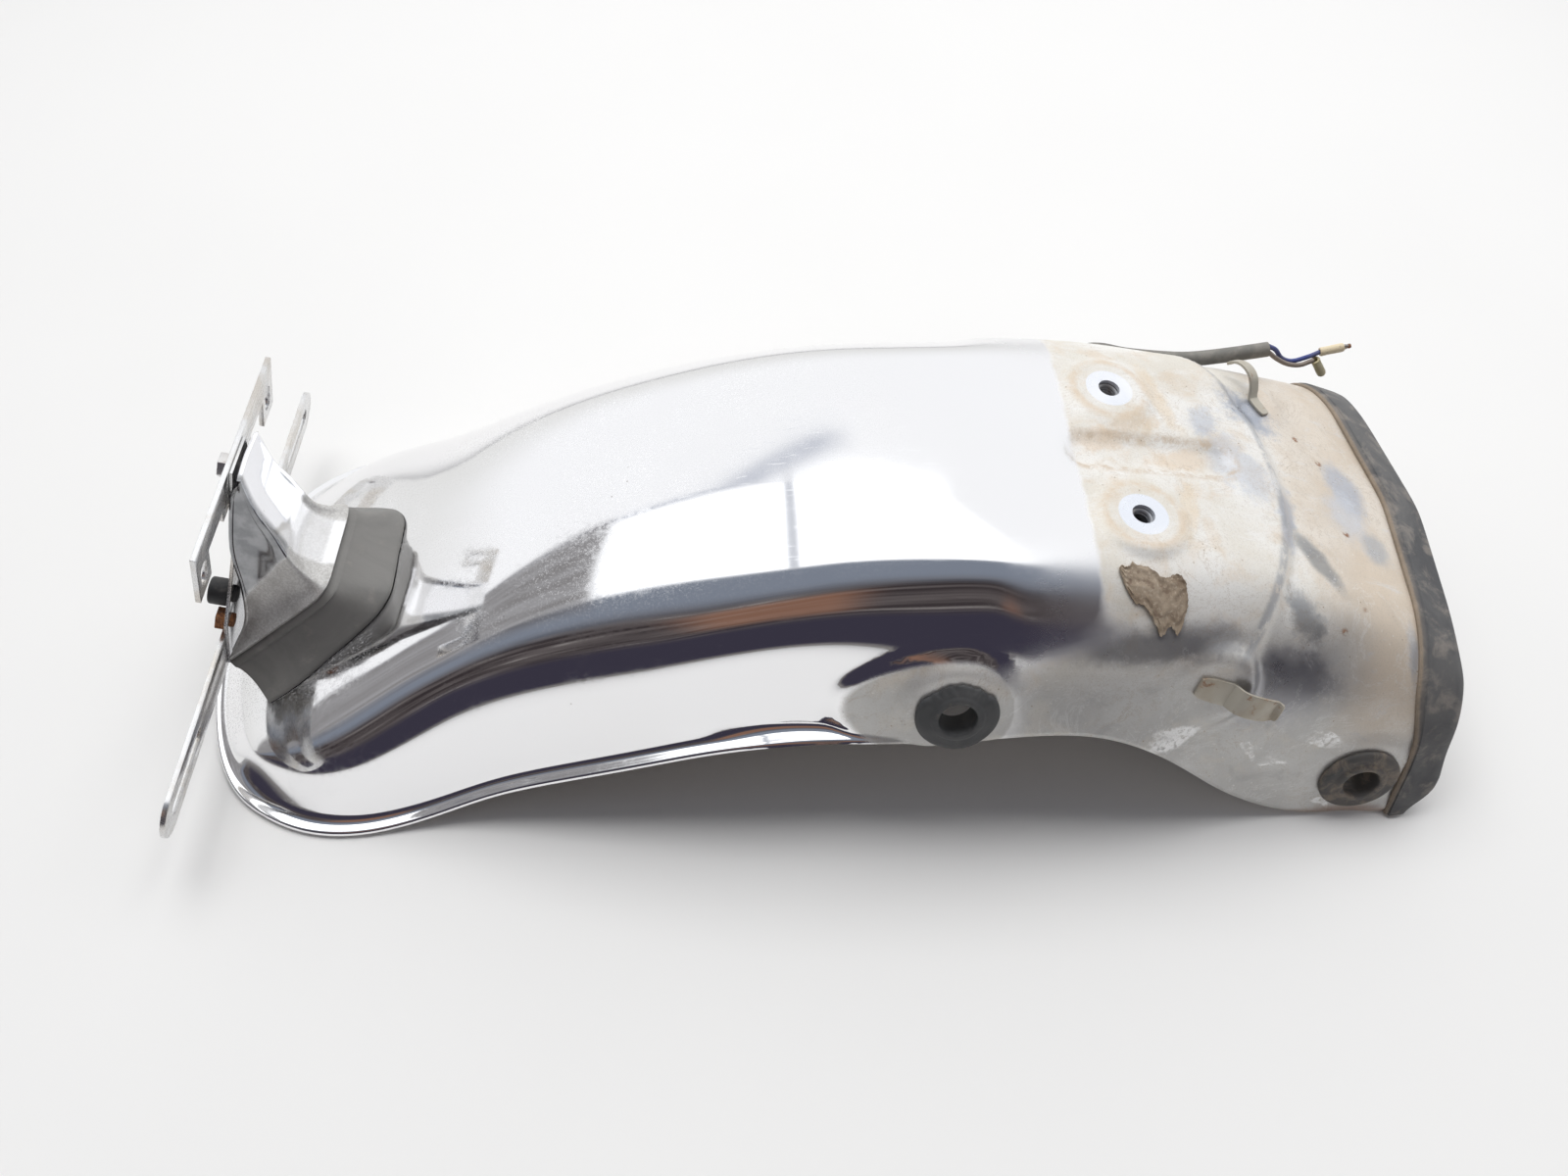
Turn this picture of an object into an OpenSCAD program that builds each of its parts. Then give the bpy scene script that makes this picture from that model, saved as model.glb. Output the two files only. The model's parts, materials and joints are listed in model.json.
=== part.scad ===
// Rear fender of a motorcycle, standing on its side edges with the crown up.
// +X is the front end, +Z is up, and the wheel runs in the XZ plane.

/* [Shell] */
// Thickness of the pressed sheet
sheet_t = 1.6; // [1:0.1:2.4]
// Width of the rolled flange along the rear side edges
flange_w = 6; // [3:0.5:8]
// Height that the rolled flange drops outwards
flange_drop = 3.4; // [2:0.2:5]
// Depth of the step at the front of the seat platform
platform_step = 4.5; // [2:0.5:6]
// Depth of the groove between the two crown pads
groove_depth = 2.6; // [1:0.2:4]
// Half width of the groove
groove_half_w = 10; // [7:0.5:13]
// Height of the crown pads round the threaded holes
pad_rise = 1.4; // [0.6:0.2:2.4]

/* [Crown holes] */
// Distance of the crown holes from the front to the rear end plane
hole_x = 127.5; // [118:0.5:135]
// Distance between the two crown holes
hole_spacing = 67; // [60:1:74]
// Diameter of the holes in the sheet
hole_d = 9; // [8:0.5:11]
// Outside diameter of the weld nuts
nut_d = 18; // [15:0.5:22]
// Height of the weld nuts
nut_h = 8; // [6:0.5:11]
// Tapping diameter of the weld nuts
nut_bore = 6.8; // [5:0.1:7]

/* [Grommets] */
// Diameter of the grommet holes in the side walls
grommet_hole = 22; // [19:0.5:24]
// Outside diameter of the grommet flanges
grommet_d = 32; // [28:0.5:34]
// Bore of the grommets
grommet_bore = 14.5; // [12:0.5:16]
// Thickness of the outer flange
grommet_flange = 4; // [3:0.5:6]

/* [Front rubber] */
// Thickness of the rubber strip
rubber_t = 6.4; // [5:0.2:8]
// Reach of the rubber ahead of the metal edge
rubber_reach = 12; // [8:0.5:14]
// Grip of the rubber channel on the metal edge
rubber_grip = 9; // [6:0.5:12]

/* [Cable clips] */
// Thickness of the clip steel
clip_t = 1.2; // [0.8:0.1:1.6]
// Width of the side clip
side_clip_w = 11; // [8:0.5:13]
// Width of the crown clip
crown_clip_w = 7; // [5:0.5:9]

/* [Tail stay] */
// Thickness of the stay sheet
stay_t = 1.6; // [1.2:0.1:1.8]
// Height of the gasket above the crown
gasket_h = 11; // [8:0.5:14]
// Length of the upper bar
upper_bar_len = 104; // [90:1:120]
// Length of the lower bar
lower_bar_len = 234; // [210:1:250]
// Width of the upper bar
upper_bar_w = 18; // [14:0.5:20]
// Width of the lower bar
lower_bar_w = 22; // [18:0.5:25]
// Thickness of both bars
bar_t = 2; // [1.5:0.1:3]
// Slot width in both bars
slot_w = 7; // [5:0.5:9]

/* [Lead] */
// Diameter of the lead sheath
sheath_d = 7; // [5:0.5:8]
// Diameter of each wire
wire_d = 2.2; // [1.6:0.1:2.6]

/* [Hidden] */

// Columns: side edge x, y, z, then ridge x, z, then corner share, curved share, flange share
SECTIONS = [
    [242.5, 108.5, 1.5, 254, 72, 0.75, 0.42, 0],
    [223.5, 108.5, 1.5, 229.5, 82.5, 0.75, 0.41, 0],
    [202.5, 108, 2, 205.5, 90.5, 0.74, 0.40, 0],
    [187.5, 107.5, 7, 188.5, 96, 0.73, 0.40, 0],
    [167.5, 106.2, 18.5, 168.5, 100.5, 0.715, 0.40, 0],
    [150.5, 105, 34, 150.5, 104.5, 0.7, 0.40, 0],
    [133.5, 103.3, 48, 133.5, 107.5, 0.7, 0.40, 0],
    [113.5, 101, 58, 113.5, 110.5, 0.7, 0.40, 0],
    [92.5, 99.5, 60, 92.5, 113, 0.71, 0.45, 0],
    [67.5, 98.5, 55.5, 67.5, 115.5, 0.73, 0.55, 0],
    [42.5, 98, 53, 42.5, 117, 0.745, 0.65, 0],
    [17.5, 97.5, 53.5, 17.5, 117.3, 0.755, 0.70, 0.5],
    [-7.5, 97.5, 53.5, -7.5, 115, 0.76, 0.76, 1],
    [-37.5, 97.2, 48.5, -37.5, 110, 0.75, 0.78, 1],
    [-67.5, 97.2, 38.5, -67.5, 103, 0.745, 0.78, 1],
    [-97.5, 97, 29, -97.5, 93.5, 0.74, 0.78, 1],
    [-127.5, 96.8, 18.5, -127.5, 80, 0.72, 0.78, 1],
    [-152.5, 99.5, 7, -154.5, 64.5, 0.68, 0.78, 1],
    [-172.5, 103, 2.4, -174.5, 52, 0.63, 0.78, 1],
    [-188.5, 105, 1.5, -188.5, 44, 0.58, 0.78, 1],
    [-205.5, 104, 1.5, -200.5, 37.5, 0.53, 0.78, 1],
    [-221.5, 98.5, 1.5, -209.5, 32.5, 0.49, 0.78, 1],
    [-238.5, 88, 1.5, -216.5, 28.5, 0.47, 0.78, 1],
    [-249.5, 73.5, 1.5, -221.5, 26, 0.46, 0.78, 1],
    [-257.5, 54, 1.5, -225.5, 24, 0.45, 0.78, 1],
    [-263.7, 28, 1.5, -228.5, 22.5, 0.45, 0.78, 1],
    [-265.2, 0, 1.5, -229.5, 22, 0.45, 0.78, 1]
];
LAST = len(SECTIONS) - 1;
CUTS = [for (k = [0:LAST - 1]) for (m = [0:1]) k + m / 2, LAST];

FLAT_STEPS = 5;
CORNER_STEPS = 8;
WALL_STEPS = 4;
HALF = FLAT_STEPS + CORNER_STEPS + WALL_STEPS + 2;

function spline(a, b, c, d, t) =
    0.5 * (2 * b + (c - a) * t + (2 * a - 5 * b + 4 * c - d) * t * t + (3 * b - a - 3 * c + d) * t * t * t);
function mirrored(row) = [row[0], -row[1], row[2], row[3], row[4], row[5], row[6], row[7]];
function row_at(k) = k < 0 ? 2 * SECTIONS[0] - SECTIONS[1] : k > LAST ? mirrored(SECTIONS[2 * LAST - k]) : SECTIONS[k];
function section(s) =
    let (k = min(floor(s), LAST - 1), t = s - k)
    spline(row_at(k - 1), row_at(k), row_at(k + 1), row_at(k + 2), t);
function ease(t) = let (u = min(max(t, 0), 1)) u * u * (3 - 2 * u);
function mix(a, b, t) = a + (b - a) * t;

// Slope of the crown line at the tail, followed by the sections that fan out there
TAIL_SLOPE = 0.56;
FAN_START = -142.5;
FAN_BLEND = 40;
// Height of the plain edge below the last bend where the sheet has no flange
EDGE_BEND = 2;

// Half profile of a section in its own plane: distance from the ridge and height
function profile(row, j) =
    let (
        reach = norm([row[0] - row[3], row[1]]),
        fall = TAIL_SLOPE * ease((FAN_START - row[3]) / FAN_BLEND) * (row[0] - row[3]) / reach,
        foot = [reach - row[7] * flange_w, row[2] + mix(EDGE_BEND, flange_drop, row[7])],
        corner = [reach * row[5], row[4] + fall * reach * row[5]],
        top_r = corner[0] * (1 - row[6]),
        top = [top_r, row[4] + fall * top_r],
        low = mix(corner, foot, 0.5)
    )
    j <= FLAT_STEPS ? mix([0, row[4]], top, j / FLAT_STEPS)
    : j <= FLAT_STEPS + CORNER_STEPS
        ? let (t = (j - FLAT_STEPS) / CORNER_STEPS) mix(mix(top, corner, t), mix(corner, low, t), t)
    : j <= HALF - 2 ? mix(low, foot, (j - FLAT_STEPS - CORNER_STEPS) / WALL_STEPS)
    : mix(foot, [reach, row[2]], (j - HALF + 2) / 2);

// Pressed forms of the crown
HOLES = [for (side = [-1, 1]) [hole_x, side * hole_spacing / 2]];
GROOVE_FROM = 111.5;
GROOVE_TO = 165.5;
STEP_X = 189.5;
STEP_BOW = 0.0042;
STEP_RUN = 8;
PAD_R = 15;
function groove(x, y) =
    let (off = norm([x - min(max(x, GROOVE_FROM), GROOVE_TO), y]))
    groove_depth * (1 - ease((off - groove_half_w + 5) / 6));
function pads(x, y) =
    pad_rise * max([for (h = HOLES) 1 - ease((norm([x, y] - h) - PAD_R) / 6)]);
function step(x, y) = platform_step * ease((x - STEP_X + STEP_BOW * y * y) / STEP_RUN);
function pressed(p) =
    let (on_crown = ease((p[2] - 45) / 35))
    p + [0, 0, on_crown * (pads(p[0], p[1]) - groove(p[0], p[1]) - step(p[0], p[1]))];

// Flat seats pressed into the sheet: place on the left side, tilt from the wall, flat radius
REAR_SEAT = [54, 94.2, 68.8];
FRONT_SEAT = [222.5, 102.3, 21];
LEAD_SEAT = [138.5, 99.2, 56];
SIDE_CLIP_SEAT = [152, 90, 73];
CROWN_CLIP_SEAT = [196.5, 43, 89.6];
REAR_LEAN = 19.5;
FRONT_LEAN = 14.3;
LEAD_LEAN = 24;
SIDE_CLIP_LEAN = 24;
CROWN_CLIP_TILT = 16.5;
HOLE_TILT = 8.5;
HOLE_STATION = 6 + (133.5 - hole_x) / 20;
HOLE_Z = section(HOLE_STATION)[4] + pad_rise;
function wall_seat(centre, lean, side, flat_r) =
    [[centre[0], side * centre[1], centre[2]], [0, side * cos(lean), sin(lean)], flat_r];
SEATS = concat(
    [for (side = [-1, 1]) each [
        wall_seat(REAR_SEAT, REAR_LEAN, side, grommet_d / 2 + 2),
        wall_seat(FRONT_SEAT, FRONT_LEAN, side, grommet_d / 2 + 2),
        [[hole_x, side * hole_spacing / 2, HOLE_Z], [sin(HOLE_TILT), 0, cos(HOLE_TILT)], PAD_R - 2]
    ]],
    [
        wall_seat(LEAD_SEAT, LEAD_LEAN, 1, sheath_d + 4),
        wall_seat(SIDE_CLIP_SEAT, SIDE_CLIP_LEAN, -1, 13),
        [CROWN_CLIP_SEAT, [sin(CROWN_CLIP_TILT), 0, cos(CROWN_CLIP_TILT)], 10]
    ]
);
function flattened(p, seats, k = 0) =
    k == len(seats) ? p
    : let (
        away = p - seats[k][0],
        height = away * seats[k][1],
        hold = abs(height) > 14 ? 0 : 1 - ease((norm(away - height * seats[k][1]) - seats[k][2]) / 9)
    )
    flattened(p - hold * height * seats[k][1], seats, k + 1);

// Point of the outer skin at a station and a profile step, on one side
function skin_point(s, j, side) =
    let (
        row = section(s),
        reach = norm([row[0] - row[3], row[1]]),
        half = profile(row, j),
        plan = [row[3], 0] + half[0] / reach * [row[0] - row[3], side * row[1]]
    )
    flattened(pressed([plan[0], plan[1], half[1]]), SEATS);

function unit(v) = v / max(norm(v), 0.000001);

// Profile step that lies at a distance r from the ridge, on the flat or the rounded part
function step_at(row, r) =
    let (
        reach = norm([row[0] - row[3], row[1]]),
        corner = reach * row[5],
        top = corner * (1 - row[6]),
        low = (corner + reach - row[7] * flange_w) / 2,
        a = top - 2 * corner + low,
        b = 2 * (corner - top),
        c = top - r
    )
    r <= top ? FLAT_STEPS * r / top
    : FLAT_STEPS + CORNER_STEPS * (abs(a) < 0.001 ? -c / b : (-b + sqrt(b * b - 4 * a * c)) / (2 * a));
function skin_at(s, r, side) = skin_point(s, step_at(section(s), r), side);

// A folded grid runs along one side, round the tail and back along the other side.
// Its first column is the ridge line, which both sides share.
COLS = HALF + 1;
MID = len(CUTS) - 1;
SHELL = [for (i = [0:2 * MID]) [for (j = [0:HALF]) skin_point(CUTS[min(i, 2 * MID - i)], j, i <= MID ? -1 : 1)]];

function grid_normal(g, i, j) =
    let (
        a = g[min(i + 1, len(g) - 1)][j] - g[max(i - 1, 0)][j],
        b = g[i][min(j + 1, len(g[i]) - 1)] - g[i][max(j - 1, 0)]
    )
    unit(cross(a, b));
function shell_normal(i, j) =
    j == 0 ? unit(grid_normal(SHELL, i, 1) + grid_normal(SHELL, 2 * MID - i, 1))
    : j == 1 ? let (
        a = SHELL[min(i + 1, 2 * MID)][1] - SHELL[max(i - 1, 0)][1],
        b = SHELL[i][2] - SHELL[i][0]
    ) unit(cross(a, b))
    : grid_normal(SHELL, i, j);

function sheet_faces(rows, cols, index, layer) = [
    for (i = [0:rows - 2], j = [0:cols - 2])
        let (a = index(i, j), b = index(i + 1, j), c = index(i + 1, j + 1), d = index(i, j + 1))
        each [[a, d, c], [a, c, b], [a, c, d] + layer * [1, 1, 1], [a, b, c] + layer * [1, 1, 1]],
    for (i = [0:rows - 2])
        let (d = index(i, cols - 1), c = index(i + 1, cols - 1))
        [c, d, d + layer, c + layer],
    for (j = [0:cols - 2])
        let (a = index(0, j), d = index(0, j + 1), b = index(rows - 1, j), c = index(rows - 1, j + 1))
        each [[d, a, a + layer, d + layer], [b, c, c + layer, b + layer]]
];

module fender_sheet() {
    spots = [
        for (i = [0:MID]) [i, 0],
        for (i = [0:2 * MID], j = [1:HALF]) [i, j]
    ];
    outer = [for (k = spots) SHELL[k[0]][k[1]]];
    inner = [for (k = spots) SHELL[k[0]][k[1]] - sheet_t * shell_normal(k[0], k[1])];
    index = function (i, j) j == 0 ? min(i, 2 * MID - i) : MID + 1 + i * HALF + j - 1;
    polyhedron(concat(outer, inner), sheet_faces(2 * MID + 1, COLS, index, len(outer)), convexity = 8);
}

// Closed solid through rings of points, with flat ends or ends of the faces in cap
module swept(rings, cap = []) {
    count = len(rings[0]);
    last = len(rings) - 1;
    start = len(cap) > 0 ? cap : [[for (k = [0:count - 1]) k]];
    polyhedron(
        [for (ring = rings) each ring],
        concat(
            start,
            [for (face = start) [for (k = [len(face) - 1:-1:0]) last * count + face[k]]],
            [for (i = [0:last - 1], k = [0:count - 1]) each
                let (n = (k + 1) % count, a = i * count)
                [[a + k, a + count + k, a + count + n], [a + k, a + count + n, a + n]]]
        ),
        convexity = 6
    );
}

// Frame whose Z axis points along n
module along(n) {
    u = unit(n);
    rotate([0, acos(u[2]), atan2(u[1], u[0])]) children();
}

module at_seat(centre, lean, side) {
    translate([centre[0], side * centre[1], centre[2]]) along([0, side * cos(lean), sin(lean)]) children();
}

module at_hole(side) {
    translate([hole_x, side * hole_spacing / 2, HOLE_Z]) rotate([0, HOLE_TILT, 0]) children();
}

module fender_shell() {
    color("gainsboro") difference() {
        fender_sheet();
        for (side = [-1, 1]) {
            at_seat(REAR_SEAT, REAR_LEAN, side) cylinder(d = grommet_hole, h = 12, center = true, $fn = 64);
            at_seat(FRONT_SEAT, FRONT_LEAN, side) cylinder(d = grommet_hole, h = 12, center = true, $fn = 64);
            at_hole(side) cylinder(d = hole_d, h = 12, center = true, $fn = 48);
        }
        at_seat(LEAD_SEAT, LEAD_LEAN, 1) cylinder(d = sheath_d + 4, h = 12, center = true, $fn = 32);
    }
}

// Rubber channel on the front edge, a sheet of rubber with a slot for the metal
EDGE_STEPS = concat([for (j = [1:HALF - 3]) j], [HALF]);
EDGE_LAST = len(EDGE_STEPS) - 1;
EDGE = concat(
    [for (k = [EDGE_LAST:-1:0]) let (j = EDGE_STEPS[k]) [SHELL[0][j], shell_normal(0, j), SHELL[1][j]]],
    [for (k = [-1:EDGE_LAST])
        let (j = k < 0 ? 0 : EDGE_STEPS[k]) [SHELL[2 * MID][j], shell_normal(2 * MID, j), SHELL[2 * MID - 1][j]]]
);
RUBBER_GAP = 0.15;
RUBBER_CHAMFER = 15;
RUBBER_LOW_GRIP = 3.6;
RUBBER_CAP = [[0, 1, 2], [0, 2, 10], [2, 3, 10], [3, 4, 10], [4, 9, 10], [4, 5, 9], [5, 6, 9], [6, 7, 9], [7, 8, 9]];
function rubber_ring(spot) =
    let (
        p = spot[0], n = spot[1],
        back = unit(spot[2] - p),
        reach = rubber_reach * (0.45 + 0.55 * ease(p[2] / RUBBER_CHAMFER)),
        wall = (rubber_t - sheet_t) / 2,
        out = wall, in = -sheet_t - wall,
        grip = mix(RUBBER_LOW_GRIP, rubber_grip, ease((p[2] - 34) / 22))
    )
    [
        p + back * grip + n * RUBBER_GAP,
        p + back * grip + n * out * 0.7,
        p + n * out,
        p - back * reach * 0.8 + n * out * 0.8,
        p - back * reach + n * (out * 0.3 + in * 0.1),
        p - back * reach * 0.9 + n * in * 0.8,
        p + n * in,
        p + back * grip + n * in * 0.85,
        p + back * grip - n * (sheet_t + RUBBER_GAP),
        p - back * RUBBER_GAP - n * (sheet_t + RUBBER_GAP),
        p - back * RUBBER_GAP + n * RUBBER_GAP
    ];
module front_edge_rubber() {
    color("dimgray") swept([for (spot = EDGE) rubber_ring(spot)], RUBBER_CAP);
}

// Grommet: outer flange, neck through the sheet, inner flange, open bore
module grommet(centre, lean, side) {
    neck = sheet_t + 0.2;
    color("darkslategray") at_seat(centre, lean, side) rotate_extrude($fn = 64) polygon([
        [grommet_bore / 2, grommet_flange],
        [grommet_bore / 2 + 2, grommet_flange],
        [grommet_bore / 2 + 3.4, grommet_flange - 0.9],
        [grommet_d / 2 - 1.6, grommet_flange - 0.9],
        [grommet_d / 2, grommet_flange - 2.2],
        [grommet_d / 2, 0.1],
        [grommet_hole / 2, 0.1],
        [grommet_hole / 2, -neck],
        [grommet_d / 2 - 2, -neck],
        [grommet_d / 2 - 3, -neck - 3],
        [grommet_bore / 2 + 1, -neck - 4],
        [grommet_bore / 2, -neck - 3.4]
    ]);
}
module grommet_rear_right() { grommet(REAR_SEAT, REAR_LEAN, -1); }
module grommet_rear_left() { grommet(REAR_SEAT, REAR_LEAN, 1); }
module grommet_front_right() { grommet(FRONT_SEAT, FRONT_LEAN, -1); }
module grommet_front_left() { grommet(FRONT_SEAT, FRONT_LEAN, 1); }

// Weld nut: round flange against the sheet, hexagon below, tapped bore
module weld_nut(side) {
    color("slategray") at_hole(side) translate([0, 0, -sheet_t - 0.2]) difference() {
        union() {
            translate([0, 0, -2]) cylinder(d = nut_d, h = 2, $fn = 48);
            translate([0, 0, -nut_h]) cylinder(d = nut_d * 0.8, h = nut_h - 2, $fn = 6);
        }
        translate([0, 0, -nut_h - 1]) cylinder(d = nut_bore, h = nut_h + 2, $fn = 48);
    }
}
module weld_nut_right() { weld_nut(-1); }
module weld_nut_left() { weld_nut(1); }

// Bent strip of even thickness along a path in its own plane
function ribbon(path, t) =
    let (
        last = len(path) - 1,
        dirs = [for (k = [0:last]) unit(path[min(k + 1, last)] - path[max(k - 1, 0)])]
    )
    concat(
        [for (k = [0:last]) path[k]],
        [for (k = [last:-1:0]) path[k] + t * [-dirs[k][1], dirs[k][0]]]
    );

CLIP_GAP = 0.1;
SIDE_CLIP_TURN = 63;
CROWN_CLIP_TURN = 114;
module clip(path, w) {
    rotate([90, 0, 0]) linear_extrude(w, center = true) polygon(ribbon(path, clip_t));
}
module side_clip() {
    hook = [[-9, 0], [8, 0], [11, 1], [14, 3], [18, 4.8], [22, 5], [25.5, 4], [28, 2.2], [29.5, 1]];
    color("tan") at_seat(SIDE_CLIP_SEAT, SIDE_CLIP_LEAN, -1)
        rotate([0, 0, SIDE_CLIP_TURN]) translate([0, 0, CLIP_GAP]) clip(hook, side_clip_w);
}
module crown_clip() {
    hook = [[-8, 0], [6, 0], [9, 1.4], [11, 4], [14, 6.6], [18, 7.6], [22, 6.6], [25, 4], [26, 1.6]];
    color("tan") translate(CROWN_CLIP_SEAT) rotate([0, CROWN_CLIP_TILT, 0])
        rotate([0, 0, CROWN_CLIP_TURN]) translate([0, 0, CLIP_GAP]) clip(hook, crown_clip_w);
}

// Base line of the gasket on the crown as station and distance from the ridge, outside and inside
GASKET_OUT = [[17.95, 0], [17.95, 11], [18, 20], [18.3, 28], [18.9, 34], [19.7, 40], [20.5, 46], [21.2, 50], [21.9, 53]];
GASKET_IN = [[18.4, 0], [18.4, 10], [18.42, 17], [18.65, 22], [19.15, 27], [19.9, 32.5], [20.65, 38], [21.3, 42], [22, 45.5]];
GASKET_LIFT = 0.35;
// Upper edge of the gasket, from the middle of its front round to its rear end
GASKET_TOP = [
    [-194.5, 0, 62], [-194.5, 10, 62], [-194.8, 18, 61.8], [-196.5, 23, 61], [-201.5, 26.5, 58],
    [-211.5, 29.5, 51.7], [-221.5, 32, 45.2], [-232.5, 34.8, 38], [-242.5, 37, 31.5]
];
RIM = len(GASKET_TOP) - 1;
// The stay stands a little turned on the fender, and its gasket gives with it
STAY_TURN = -2.2;
STAY_X = -245.5;
function turned(p) =
    let (x = p[0] - STAY_X)
    [STAY_X + x * cos(STAY_TURN) - p[1] * sin(STAY_TURN), x * sin(STAY_TURN) + p[1] * cos(STAY_TURN), p[2]];
function sided(p, side) = [p[0], side * p[1], p[2]];
function gasket_ring(k, side) =
    let (
        top = turned(sided(GASKET_TOP[k], side)) + [0, 0, gasket_h - 11],
        out = skin_at(GASKET_OUT[k][0], GASKET_OUT[k][1], side) + [0, 0, GASKET_LIFT],
        in = skin_at(GASKET_IN[k][0], GASKET_IN[k][1], side) + [0, 0, GASKET_LIFT],
        inward = unit([in[0] - out[0], in[1] - out[1], 0])
    )
    [
        top,
        mix(top, out, 0.45) + 1.6 * inward - [0, 0, 1],
        mix(top, out, 0.93) + [0, 0, 0.6],
        out,
        in,
        top + 5 * inward - [0, 0, 1.5]
    ];
GASKET_CAP = [[0, 1, 5], [1, 2, 5], [2, 4, 5], [2, 3, 4]];
module stay_gasket() {
    color("dimgray") swept(concat(
        [for (k = [RIM:-1:1]) gasket_ring(k, -1)],
        [for (k = [0:RIM]) gasket_ring(k, 1)]
    ), GASKET_CAP);
}

// Levels of the stay above its base: front x, y, z, rear x, y, z, then x of the front middle
STAY_LEVELS = [
    [-200.5, 20.5, 65.5, -238.5, 31, 38, -200.5],
    [-206.5, 17.5, 72, -233.5, 25, 46, -208.5],
    [-209, 16, 86, -230.5, 20, 62, -211.5],
    [-212, 14.2, 102, -227.3, 17, 84, -214],
    [-211.8, 13, 119.5, -217, 13.4, 114, -212.4]
];
STAY_SEAM = 0.3;
// Shares of the depth of a side at which its columns stand, at the foot and at the top
SIDE_FOOT = [0, 0.12, 0.35, 0.6, 0.82, 1];
SIDE_TOP = [0, 0.42, 0.57, 0.72, 0.86, 1];
function stay_point(level, k, side) =
    level == 0 ? sided(GASKET_TOP[k], side) + [0, 0, gasket_h - 11 + STAY_SEAM + stay_t]
    : let (
        row = STAY_LEVELS[level - 1],
        front = [row[0], side * row[1], row[2]],
        rear = [row[3], side * row[4], row[5]]
    )
    k == 0 ? [row[6], 0, row[2]]
    : k == 1 ? [mix(row[6], row[0], 0.25), side * 0.4 * row[1], row[2]]
    : k == 2 ? [mix(row[6], row[0], 0.65), side * 0.74 * row[1], row[2]]
    : mix(front, rear, mix(SIDE_FOOT[k - 3], SIDE_TOP[k - 3], level / 5));
STAY = concat(
    [for (k = [RIM:-1:1]) [for (level = [0:5]) turned(stay_point(level, k, -1))]],
    [for (k = [0:RIM]) [for (level = [0:5]) turned(stay_point(level, k, 1))]]
);
module open_sheet(g, t) {
    rows = len(g);
    cols = len(g[0]);
    outer = [for (row = g) each row];
    inner = [for (i = [0:rows - 1], j = [0:cols - 1]) g[i][j] - t * grid_normal(g, i, j)];
    index = function (i, j) i * cols + j;
    walls = [for (i = [0:rows - 2]) [index(i + 1, 0), index(i, 0)]];
    polyhedron(
        concat(outer, inner),
        concat(
            sheet_faces(rows, cols, index, len(outer)),
            [for (w = walls) [w[1], w[0], w[0] + len(outer), w[1] + len(outer)]]
        ),
        convexity = 6
    );
}
module tail_stay() {
    color("lightgray") open_sheet(STAY, stay_t);
}

// Plane of the number plate: X across, Y up the plane, Z towards the front
PLATE_AT = [-244.5, 0, 33];
PLATE_LEAN = 17.6;
UPPER_BAR_AT = 84;
EAR_W = 14;
EAR_H = 27;
LOWER_SLOT_LEN = 38;
// Distance from the end of the lower bar to the middle of its slot
LOWER_SLOT_IN = 28;
UPPER_SLOT_LEN = 12;
BUSH_AT = [20.5, 26.8];
STAY_BOLT_AT = [27, 16.6];
bush_d = 11.5;
bolt_d = 6;
module in_plate_plane() {
    translate([STAY_X, 0, 0]) rotate([0, 0, STAY_TURN]) translate(PLATE_AT - [STAY_X, 0, 0])
        rotate([0, PLATE_LEAN, 0]) rotate([90, 0, 90]) children();
}
module slot(len, w, h) {
    for (end = [-1, 1]) translate([end * (len - w) / 2, 0, 0]) cylinder(d = w, h = h, center = true, $fn = 32);
    cube([len - w, w, h], center = true);
}
module round_bar(len, w, t) {
    translate([0, 0, -t]) linear_extrude(t) union() {
        square([len - w, w], center = true);
        for (end = [-1, 1]) translate([end * (len - w) / 2, 0]) circle(d = w, $fn = 48);
    }
}
module upper_plate_bar() {
    color("silver") in_plate_plane() translate([0, UPPER_BAR_AT, 0]) difference() {
        translate([0, 0, -bar_t]) linear_extrude(bar_t) union() {
            translate([-upper_bar_len / 2, upper_bar_w / 2 - 12]) square([upper_bar_len, 12]);
            translate([-20, -upper_bar_w / 2]) square([40, upper_bar_w]);
            for (end = [-1, 1]) translate([end * (upper_bar_len - EAR_W) / 2, upper_bar_w / 2 - EAR_H / 2])
                square([EAR_W, EAR_H], center = true);
        }
        for (end = [-1, 1])
            translate([end * (upper_bar_len - EAR_W) / 2, upper_bar_w / 2 - EAR_H + 10, 0])
                rotate([0, 0, 90]) slot(UPPER_SLOT_LEN, slot_w, 3 * bar_t);
        cylinder(d = bolt_d + 0.4, h = 3 * bar_t, center = true, $fn = 32);
    }
}
module lower_plate_bar() {
    color("silver") in_plate_plane() difference() {
        round_bar(lower_bar_len, lower_bar_w, bar_t);
        for (end = [-1, 1]) translate([end * (lower_bar_len / 2 - LOWER_SLOT_IN), 0, 0]) slot(LOWER_SLOT_LEN, slot_w, 3 * bar_t);
    }
}
WEB_GAP = 0.1;
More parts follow.
